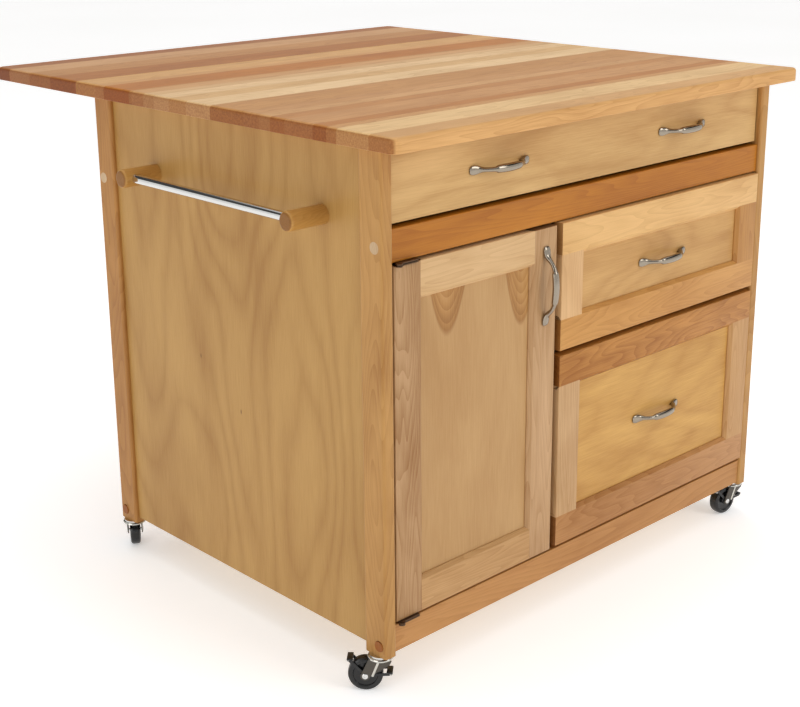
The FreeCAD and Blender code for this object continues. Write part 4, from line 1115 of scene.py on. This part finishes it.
@dataclass
class Pull:
    """Arched cabinet pull with spade feet, cast and plated."""

    dresser: Dresser
    name: str
    node: str
    body: str
    middle: Vector
    upright: bool = False

    def build(self) -> None:
        """Extrude a ring along the arch and close its tips."""
        half = list(PULL_STATIONS)
        stations = [Station(-s.along, s.rise, s.half_width, s.half_thick) for s in half] + half[-2::-1]
        bm = bmesh.new()
        first = self.seat(stations, 0)
        bmesh.ops.create_circle(bm, cap_ends=True, segments=12, radius=1.0, matrix=first)
        ring = list(bm.edges)
        before = first
        for index in range(1, len(stations)):
            after = self.seat(stations, index)
            grown = bmesh.ops.extrude_edge_only(bm, edges=ring)["geom"]
            ring = [item for item in grown if isinstance(item, bmesh.types.BMEdge)]
            moved = [item for item in grown if isinstance(item, bmesh.types.BMVert)]
            bmesh.ops.transform(bm, matrix=after @ before.inverted(), verts=moved)
            before = after
        bmesh.ops.contextual_create(bm, geom=ring)
        turn = Matrix.Rotation(math.pi / 2, 4, "Y") if self.upright else Matrix.Identity(4)
        bmesh.ops.transform(bm, matrix=Matrix.Translation(self.middle) @ turn, verts=bm.verts)
        # The pulls' nickel is darker than real nickel: painted shade for the dark room they mirror.
        self.dresser.piece(self.name, bm, self.body, NICKEL_PAINTED_DARKER, [self.node], 60.0, 2, "nickel")

    @staticmethod
    def seat(stations: Sequence[Station], index: int) -> Matrix:
        """Place a unit circle at a station, square to the arch.

        Args:
            stations: all stations in order.
            index: which one.

        Returns:
            Matrix that takes the circle in its XY plane to the station.
        """
        near, far = stations[max(index - 1, 0)], stations[min(index + 1, len(stations) - 1)]
        here = stations[index]
        slope = math.atan2(-(far.rise - near.rise), far.along - near.along)
        # The circle's X becomes the pull's width and its Y the thickness.
        turn = Matrix.Rotation(slope, 4, "Z") @ Euler((0, math.pi / 2, 0)).to_matrix().to_4x4()
        size = Matrix.Diagonal((here.half_width * MM, here.half_thick * MM, 1.0, 1.0))
        return Matrix.Translation((here.along * MM, -here.rise * MM, 0)) @ turn @ size


def pull_middles(node: str, count: int) -> list[Vector]:
    """Find where the pulls of a node stand.

    Args:
        node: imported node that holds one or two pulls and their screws.
        count: how many pulls it holds.

    Returns:
        Middle of each pull's seat on its face.
    """
    low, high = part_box(node)
    rise = 30 * MM
    half = 71.5 * MM
    y = low.y + rise
    if count == 1:
        return [Vector(((low.x + high.x) / 2, y, (low.z + high.z) / 2))]
    return [Vector((x, y, (low.z + high.z) / 2)) for x in (low.x + half, high.x - half)]


# ------------------------------------------------------------------ casters
@dataclass
class Caster:
    """Stem caster: pressed fork, raceway, riveted axle, moulded wheel and, in front, a brake lever."""

    dresser: Dresser
    corner: str
    braked: bool
    wheel_radius: float = 29 * MM
    wheel_half: float = 10 * MM
    cheek_inner: float = 12.5 * MM
    cheek_thick: float = 2 * MM
    disc_radius: float = 22 * MM
    fork_top: float = 62.2 * MM
    leg_half: float = 2.4 * MM
    leg_thick: float = 1.2 * MM
    leg_gap: float = 0.6 * MM
    eye_bore: float = 3.1 * MM
    eye_radius: float = 6 * MM
    cap_half: float = 5 * MM
    tab_half: float = 4.4 * MM
    tab_height: float = 3 * MM

    def __post_init__(self) -> None:
        """Read the swivel and axle lines from the frame's joints."""
        joints = {joint["name"]: joint for joint in self.dresser.frame["joints"]}
        swivel, spin = joints["swivel_" + self.corner], joints["spin_" + self.corner]
        self.centre = Vector(swivel["pos_m"])
        axle = Vector(spin["pos_m"])
        self.axle_z = axle.z
        self.trail = math.hypot(axle.x - self.centre.x, axle.y - self.centre.y)
        turn = math.atan2(-spin["axis"][0], spin["axis"][1])
        self.place = Matrix.Translation((self.centre.x, self.centre.y, 0)) @ Matrix.Rotation(turn, 4, "Z")

    def at_axle(self, bm: bmesh.types.BMesh, y: float = 0.0, flip: bool = False) -> bmesh.types.BMesh:
        """Stand a shape turned round Z on the axle line.

        Args:
            bm: the shape.
            y: place along the axle.
            flip: whether it faces the other way.

        Returns:
            The same shape, moved.
        """
        lay = Matrix.Rotation(math.pi / 2 if flip else -math.pi / 2, 4, "X")
        bmesh.ops.transform(bm, matrix=Matrix.Translation((self.trail, y, self.axle_z)) @ lay, verts=bm.verts)
        return bm

    def add(self, name: str, parts: Sequence[bmesh.types.BMesh], body: str, finish: Any, *nodes: str) -> None:
        """Place shapes that are drawn in the caster's own frame and make them one piece.

        Args:
            name: name of the piece, before the caster's corner.
            parts: its shapes.
            body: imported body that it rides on.
            finish: what it is made of.
            *nodes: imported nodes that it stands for.
        """
        whole = merged(parts)
        bmesh.ops.transform(whole, matrix=self.place, verts=whole.verts)
        self.dresser.piece(f"{name}_{self.corner}", whole, body, finish, nodes)

    def build(self) -> None:
        """Build the fork, its rivets, the wheel, the hub and the brake."""
        fork, wheel = "fork_" + self.corner, "wheel_" + self.corner
        cheeks, ribs = self.cheeks()
        node = "caster_fork_" + self.corner
        self.add("fork_crown", [self.crown(), *ribs], fork, BRIGHT_STEEL, node)
        # The cheeks take a darker copy of the fork's steel, painted shade for the dark room they mirror.
        self.add("fork_cheeks", cheeks, fork, CHEEK_STEEL_PAINTED_DARK, node)
        self.add("fork_rivets", self.rivets(), fork, CHROME)
        self.add("wheel_tyre", [self.wheel()], wheel, WHEEL_BLACK, "caster_wheel_" + self.corner)
        if self.braked:
            self.brake()

    def crown(self) -> bmesh.types.BMesh:
        """Make the dished crown of the fork, with its rim turned down.

        Returns:
            The crown.
        """
        top, radius = self.fork_top, self.disc_radius
        profile = (
            (4.1 * MM, top - 2 * MM),
            (4.1 * MM, top),
            (17 * MM, top),
            (radius - 2.6 * MM, top - 0.2 * MM),
            (radius - 0.9 * MM, top - 0.9 * MM),
            (radius - 0.1 * MM, top - 2.2 * MM),
            (radius, top - 3.4 * MM),
            (radius - 0.5 * MM, top - 4.1 * MM),
            (radius - 1.4 * MM, top - 4.1 * MM),
            (radius - 1.8 * MM, top - 2.6 * MM),
            (16 * MM, top - 2 * MM),
            (4.1 * MM, top - 2 * MM),
        )
        return turned(profile)

    def cheeks(self) -> tuple[list[bmesh.types.BMesh], list[bmesh.types.BMesh]]:
        """Make the two side plates of the fork and the pressed rib of each.

        Returns:
            The plates, and their ribs.
        """
        top, x_axle, z_axle = self.fork_top, self.trail, self.axle_z
        outline = [
            (-17 * MM, top - 2 * MM),
            (-18 * MM, top - 6 * MM),
            (-15 * MM, top - 12 * MM),
            (x_axle - 8 * MM, z_axle - 1 * MM),
        ]
        outline += [
            (x_axle + 8 * MM * math.cos(angle), z_axle + 8 * MM * math.sin(angle))
            for angle in (math.radians(d) for d in range(200, 361, 20))
        ]
        outline += [(21 * MM, top - 6 * MM), (19 * MM, top - 2 * MM)]
        cheeks, ribs = [], []
        for side in (-1, 1):
            start = self.cheek_inner if side > 0 else -self.cheek_inner - self.cheek_thick
            cheek = plate(outline, start, self.cheek_thick)
            outer = start + (self.cheek_thick if side > 0 else 0)
            rim = [e for e in cheek.edges if on_plane(e, 1, outer)]
            bevel(cheek, rim, 0.7 * MM, 2)
            cheeks.append(cheek)
            rib = block((-2 * MM, -0.9 * MM, -15 * MM), (2 * MM, 0.9 * MM, 15 * MM))
            bevel(rib, list(rib.edges), 0.8 * MM, 3)
            lean = Matrix.Rotation(math.atan2(x_axle - 14 * MM, 28 * MM), 4, "Y")
            middle = Matrix.Translation((8 * MM, outer, 43 * MM))
            bmesh.ops.transform(rib, matrix=middle @ lean.inverted(), verts=rib.verts)
            ribs.append(rib)
        return cheeks, ribs

    def rivets(self) -> list[bmesh.types.BMesh]:
        """Make the domed and dimpled heads of the axle, and the axle between them.

        Returns:
            The two heads and the axle.
        """
        face = self.cheek_inner + self.cheek_thick
        head = (
            (0.0, 0.9 * MM),
            (1.6 * MM, 1.0 * MM),
            (2.2 * MM, 1.5 * MM),
            (3.6 * MM, 1.4 * MM),
            (4.8 * MM, 0.7 * MM),
            (5.0 * MM, 0.0),
            (0.0, 0.0),
        )
        parts = [self.at_axle(turned(head, 24), face), self.at_axle(turned(head, 24), -face, flip=True)]
        rod = ((0.0, -face), (3 * MM, -face), (3 * MM, face), (0.0, face))
        return [*parts, self.at_axle(turned(rod, 24))]

    def wheel(self) -> bmesh.types.BMesh:
        """Make the moulded wheel: crowned tread, raised rim ring, dished web and hub, alike on both sides.

        Returns:
            The wheel, on the axle line.
        """
        radius, half = self.wheel_radius, self.wheel_half
        side = [
            (3.1 * MM, half - 0.2 * MM),
            (6.6 * MM, half - 0.2 * MM),
            (7.4 * MM, half - 1.0 * MM),
            (8.0 * MM, half - 3.4 * MM),
            (19.4 * MM, half - 2.6 * MM),
            (20.6 * MM, half - 0.7 * MM),
            (21.6 * MM, half - 0.1 * MM),
            (23.4 * MM, half - 0.1 * MM),
            (24.2 * MM, half - 0.6 * MM),
            (radius - 3.4 * MM, half - 0.7 * MM),
            (radius - 1.2 * MM, half - 2.0 * MM),
            (radius - 0.2 * MM, half - 4.4 * MM),
            (radius, half - 6.5 * MM),
        ]
        other = [(r, -y) for r, y in reversed(side)]
        return self.at_axle(turned([*side, *other, side[0]], 64))

    def brake(self) -> None:
        """Build the brake lever: two steel legs with an eye round the axle, and two capped tabs."""
        hand = self.corner.split("_")[1]
        body = "brake_" + hand
        radius, x, z = self.wheel_radius, self.trail, self.axle_z
        tips = (
            Vector((x + radius * 0.86, 0, z + radius * 0.9)),
            Vector((-radius * 0.5, 0, z + 3 * MM)),
        )
        leg_at, metal = self.wheel_half + self.leg_gap, self.leg_thick
        bore, rim = self.eye_bore, self.eye_radius
        legs = []
        for start in (-leg_at - metal, leg_at):
            for tip in tips:
                run = (tip - Vector((x, 0, z))).normalized() * self.leg_half
                outline = [
                    (x - run.z, z + run.x),
                    (tip.x - run.z, tip.z + run.x),
                    (tip.x + run.z, tip.z - run.x),
                    (x + run.z, z - run.x),
                ]
                legs.append(plate(outline, start, metal))
            eye = turned(((bore, 0), (rim, 0), (rim, metal), (bore, metal), (bore, 0)), 24)
            legs.append(self.at_axle(eye, start))
        self.add("brake_legs", legs, body, LEVER_BLACK, "brake_lever_" + hand)
        half = leg_at + metal - 0.3 * MM
        inner = half - 0.4 * MM
        tall, cap, tab = self.tab_height, self.cap_half, self.tab_half
        caps, tabs = [], []
        for tip in tips:
            upper = block((tip.x - cap, -half, tip.z - 0.6 * MM), (tip.x + cap, half, tip.z + tall))
            bevel(upper, list(upper.edges), 1.1 * MM, 3)
            caps.append(upper)
            lower = block((tip.x - tab, -inner, tip.z - tall), (tip.x + tab, inner, tip.z))
            bevel(lower, list(lower.edges), 0.7 * MM, 2)
            tabs.append(lower)
        self.add("brake_caps", caps, body, LEVER_BLACK)
        self.add("brake_tabs", tabs, body, LEVER_PALE)


# ------------------------------------------------------------------ studio
@dataclass
class Studio:
    """Pale floor, soft lights and the camera."""

    camera_at: Point = (-1.8665, -2.0217, 1.2749)
    yaw_deg: float = 43.39
    pitch_deg: float = -16.57
    roll_deg: float = -0.45
    lens_mm: float = 65.0133
    sensor_mm: float = 36.0
    lens_shift: float = -0.066875
    room_light: float = 0.9
    floor_half: float = 14.0
    floor_glow: float = 0.38

    def floor(self) -> None:
        """Lay a wide matt floor."""
        bm = bmesh.new()
        bmesh.ops.create_grid(bm, x_segments=1, y_segments=1, size=self.floor_half)
        mesh = bpy.data.meshes.new("studio_floor")
        bm.to_mesh(mesh)
        bm.free()
        material, tree, shader = blank_material("matt_white_paper")
        place = add_node(tree, "ShaderNodeTexCoord").outputs["Object"]
        cloud = add_node(tree, "ShaderNodeTexNoise", {"Vector": place, "Scale": 0.6}).outputs[0]
        ramp = add_node(tree, "ShaderNodeValToRGB", {"Fac": cloud})
        stops(ramp, [(0.3, linear("F4F3F1")), (0.7, linear("F8F7F6"))])
        tree.links.new(ramp.outputs[0], shader.inputs["Base Color"])
        shader.inputs["Roughness"].default_value = 0.9
        shader.inputs["Emission Color"].default_value = linear("FFFFFF")
        shader.inputs["Emission Strength"].default_value = self.floor_glow
        mesh.materials.append(material)
        floor = bpy.data.objects.new("studio_floor", mesh)
        bpy.context.scene.collection.objects.link(floor)

    def lamp(self, name: str, at: Point, aim: Point, size: float, watts: float) -> None:
        """Hang a square soft light.

        Args:
            name: its name.
            at: where it hangs.
            aim: point it faces.
            size: length of its side.
            watts: its power.
        """
        data = bpy.data.lights.new(name, "AREA")
        data.energy = watts
        data.size = size
        lamp = bpy.data.objects.new(name, data)
        lamp.location = at
        lamp.rotation_euler = (Vector(aim) - Vector(at)).to_track_quat("-Z", "Y").to_euler()
        bpy.context.scene.collection.objects.link(lamp)

    def world(self) -> None:
        """Surround the scene with white, and with a dark band above head height for metal to mirror."""
        world = bpy.data.worlds.new("soft_room")
        world.use_nodes = True
        tree = world.node_tree
        tree.nodes.clear()
        place = add_node(tree, "ShaderNodeTexCoord").outputs["Generated"]
        height = add_node(tree, "ShaderNodeSeparateXYZ", {0: place}).outputs[2]
        ramp = add_node(tree, "ShaderNodeValToRGB", {"Fac": height})
        white, dark = linear("FFFFFF"), linear("4A4A4A")
        stops(ramp, [(0.26, white), (0.32, dark), (0.60, dark), (0.66, white)])
        sky = add_node(tree, "ShaderNodeBackground", {"Color": ramp.outputs[0], "Strength": self.room_light})
        add_node(tree, "ShaderNodeOutputWorld", {"Surface": sky.outputs[0]})
        bpy.context.scene.world = world

    def camera(self) -> None:
        """Set up the camera by its measured place, direction and focal length."""
        data = bpy.data.cameras.new("camera")
        data.sensor_width = self.sensor_mm
        data.lens = self.lens_mm
        data.shift_y = self.lens_shift
        data.dof.use_dof = False
        camera = bpy.data.objects.new("camera", data)
        yaw, pitch, roll = (math.radians(a) for a in (self.yaw_deg, self.pitch_deg, self.roll_deg))
        turn = (
            Matrix.Rotation(-yaw, 4, "Z")
            @ Matrix.Rotation(math.pi / 2 + pitch, 4, "X")
            @ Matrix.Rotation(roll, 4, "Z")
        )
        camera.matrix_world = Matrix.Translation(self.camera_at) @ turn
        bpy.context.scene.collection.objects.link(camera)
        bpy.context.scene.camera = camera

    def build(self) -> None:
        """Build the floor, lights, surroundings and camera."""
        self.floor()
        self.world()
        middle = (0.0, 0.0, 0.45)
        self.lamp("key_light", (1.2, -4.2, 2.6), middle, 2.2, 52.0)
        self.lamp("left_light", (-4.4, -0.6, 1.4), middle, 2.4, 30.0)
        self.lamp("top_light", (0.3, 0.6, 4.2), middle, 3.0, 45.0)
        bpy.context.scene.view_settings.view_transform = "Standard"
        self.camera()


# ------------------------------------------------------------------ main
def fronts(dresser: Dresser) -> list[FramedFront]:
    """Describe the door and the two framed drawer fronts.

    Args:
        dresser: what builds them.

    Returns:
        The three fronts.
    """
    def stile(name: str, seed: float, tone: str, contrast: float = 1.0) -> Wood:
        """Describe the wood of a stile, whose grain stands upright."""
        return Wood(name, tone, Grain.UPRIGHT, seed, figure_mm=60, stretch=9, contrast=contrast)

    def rail(name: str, seed: float, tone: str, contrast: float = 1.0) -> Wood:
        """Describe the wood of a rail, whose grain runs across."""
        return Wood(name, tone, Grain.ACROSS, seed, figure_mm=60, stretch=7, contrast=contrast)

    low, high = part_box("door_panel")
    wide = high.x - low.x
    panel = Wood(
        "birch_veneer_door",
        "C49D6C",
        Grain.UPRIGHT,
        seed=5.2,
        figure_mm=150,
        stretch=7.0,
        rings=10,
        ring_share=0.06,
        contrast=0.8,
        drift_mm=110,
        sliced=True,
        tongues=(
            Tongue(low.x + 0.26 * wide, 0.17 * wide, high.z - 6 * MM, 0.105),
            Tongue(low.x + 0.90 * wide, 0.14 * wide, high.z - 6 * MM, 0.098),
        ),
    )
    door = {
        "stile_left": stile("birch_stile_a", 11.1, "B9936A", 1.7),
        "stile_right": stile("birch_stile_b", 12.7, "C19B71", 1.2),
        "rail_bottom": rail("birch_rail_a", 13.9, "C19766", 1.2),
        "rail_top": rail("birch_rail_b", 14.3, "D9B484", 0.8),
    }
    middle = {
        "stile_left": stile("birch_stile_c", 15.2, "DDB483", 0.7),
        "stile_right": stile("birch_stile_d", 16.8, "C08D52"),
        "rail_bottom": rail("birch_rail_c", 17.5, "CC9758"),
        "rail_top": rail("birch_rail_d", 18.1, "E3B77B", 0.8),
    }
    deep = {
        "stile_left": stile("birch_stile_e", 19.4, "C7A175"),
        "stile_right": stile("birch_stile_f", 20.6, "C79B68"),
        "rail_bottom": rail("birch_rail_e", 21.9, "B88655", 1.2),
        "rail_top": rail("birch_rail_f", 22.3, "BA8247", 1.7),
    }
    return [
        FramedFront(dresser, "door", "door", Through.STILES, panel, door),
        FramedFront(dresser, "middle_drawer", "middle_drawer", Through.RAILS, DRAWER_VENEER, middle),
        FramedFront(dresser, "deep_drawer", "deep_drawer", Through.RAILS, DEEP_VENEER, deep),
    ]


def pulls(dresser: Dresser) -> list[Pull]:
    """Describe the five pulls.

    Args:
        dresser: what builds them.

    Returns:
        One Pull for each.
    """
    found = []
    for body, count in (("top_drawer", 2), ("middle_drawer", 1), ("deep_drawer", 1), ("door", 1)):
        node = body + "_pull"
        for index, middle in enumerate(pull_middles(node, count), start=1):
            name = f"{body}_pull_{index}"
            found.append(Pull(dresser, name, node, body, middle, upright=body == "door"))
    return found


def main() -> None:
    """Build and dress every piece in order."""
    logging.basicConfig(level=logging.INFO, format="%(name)s: %(message)s")
    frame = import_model()
    dresser = Dresser(frame)
    Studio().build()
    Cabinet(dresser).dress()
    for front in fronts(dresser):
        front.build()
    for pull in pulls(dresser):
        pull.build()
    for corner in ("front_left", "front_right", "back_left", "back_right"):
        Caster(dresser, corner, braked=corner.startswith("front")).build()


if __name__ == "__main__":
    main()
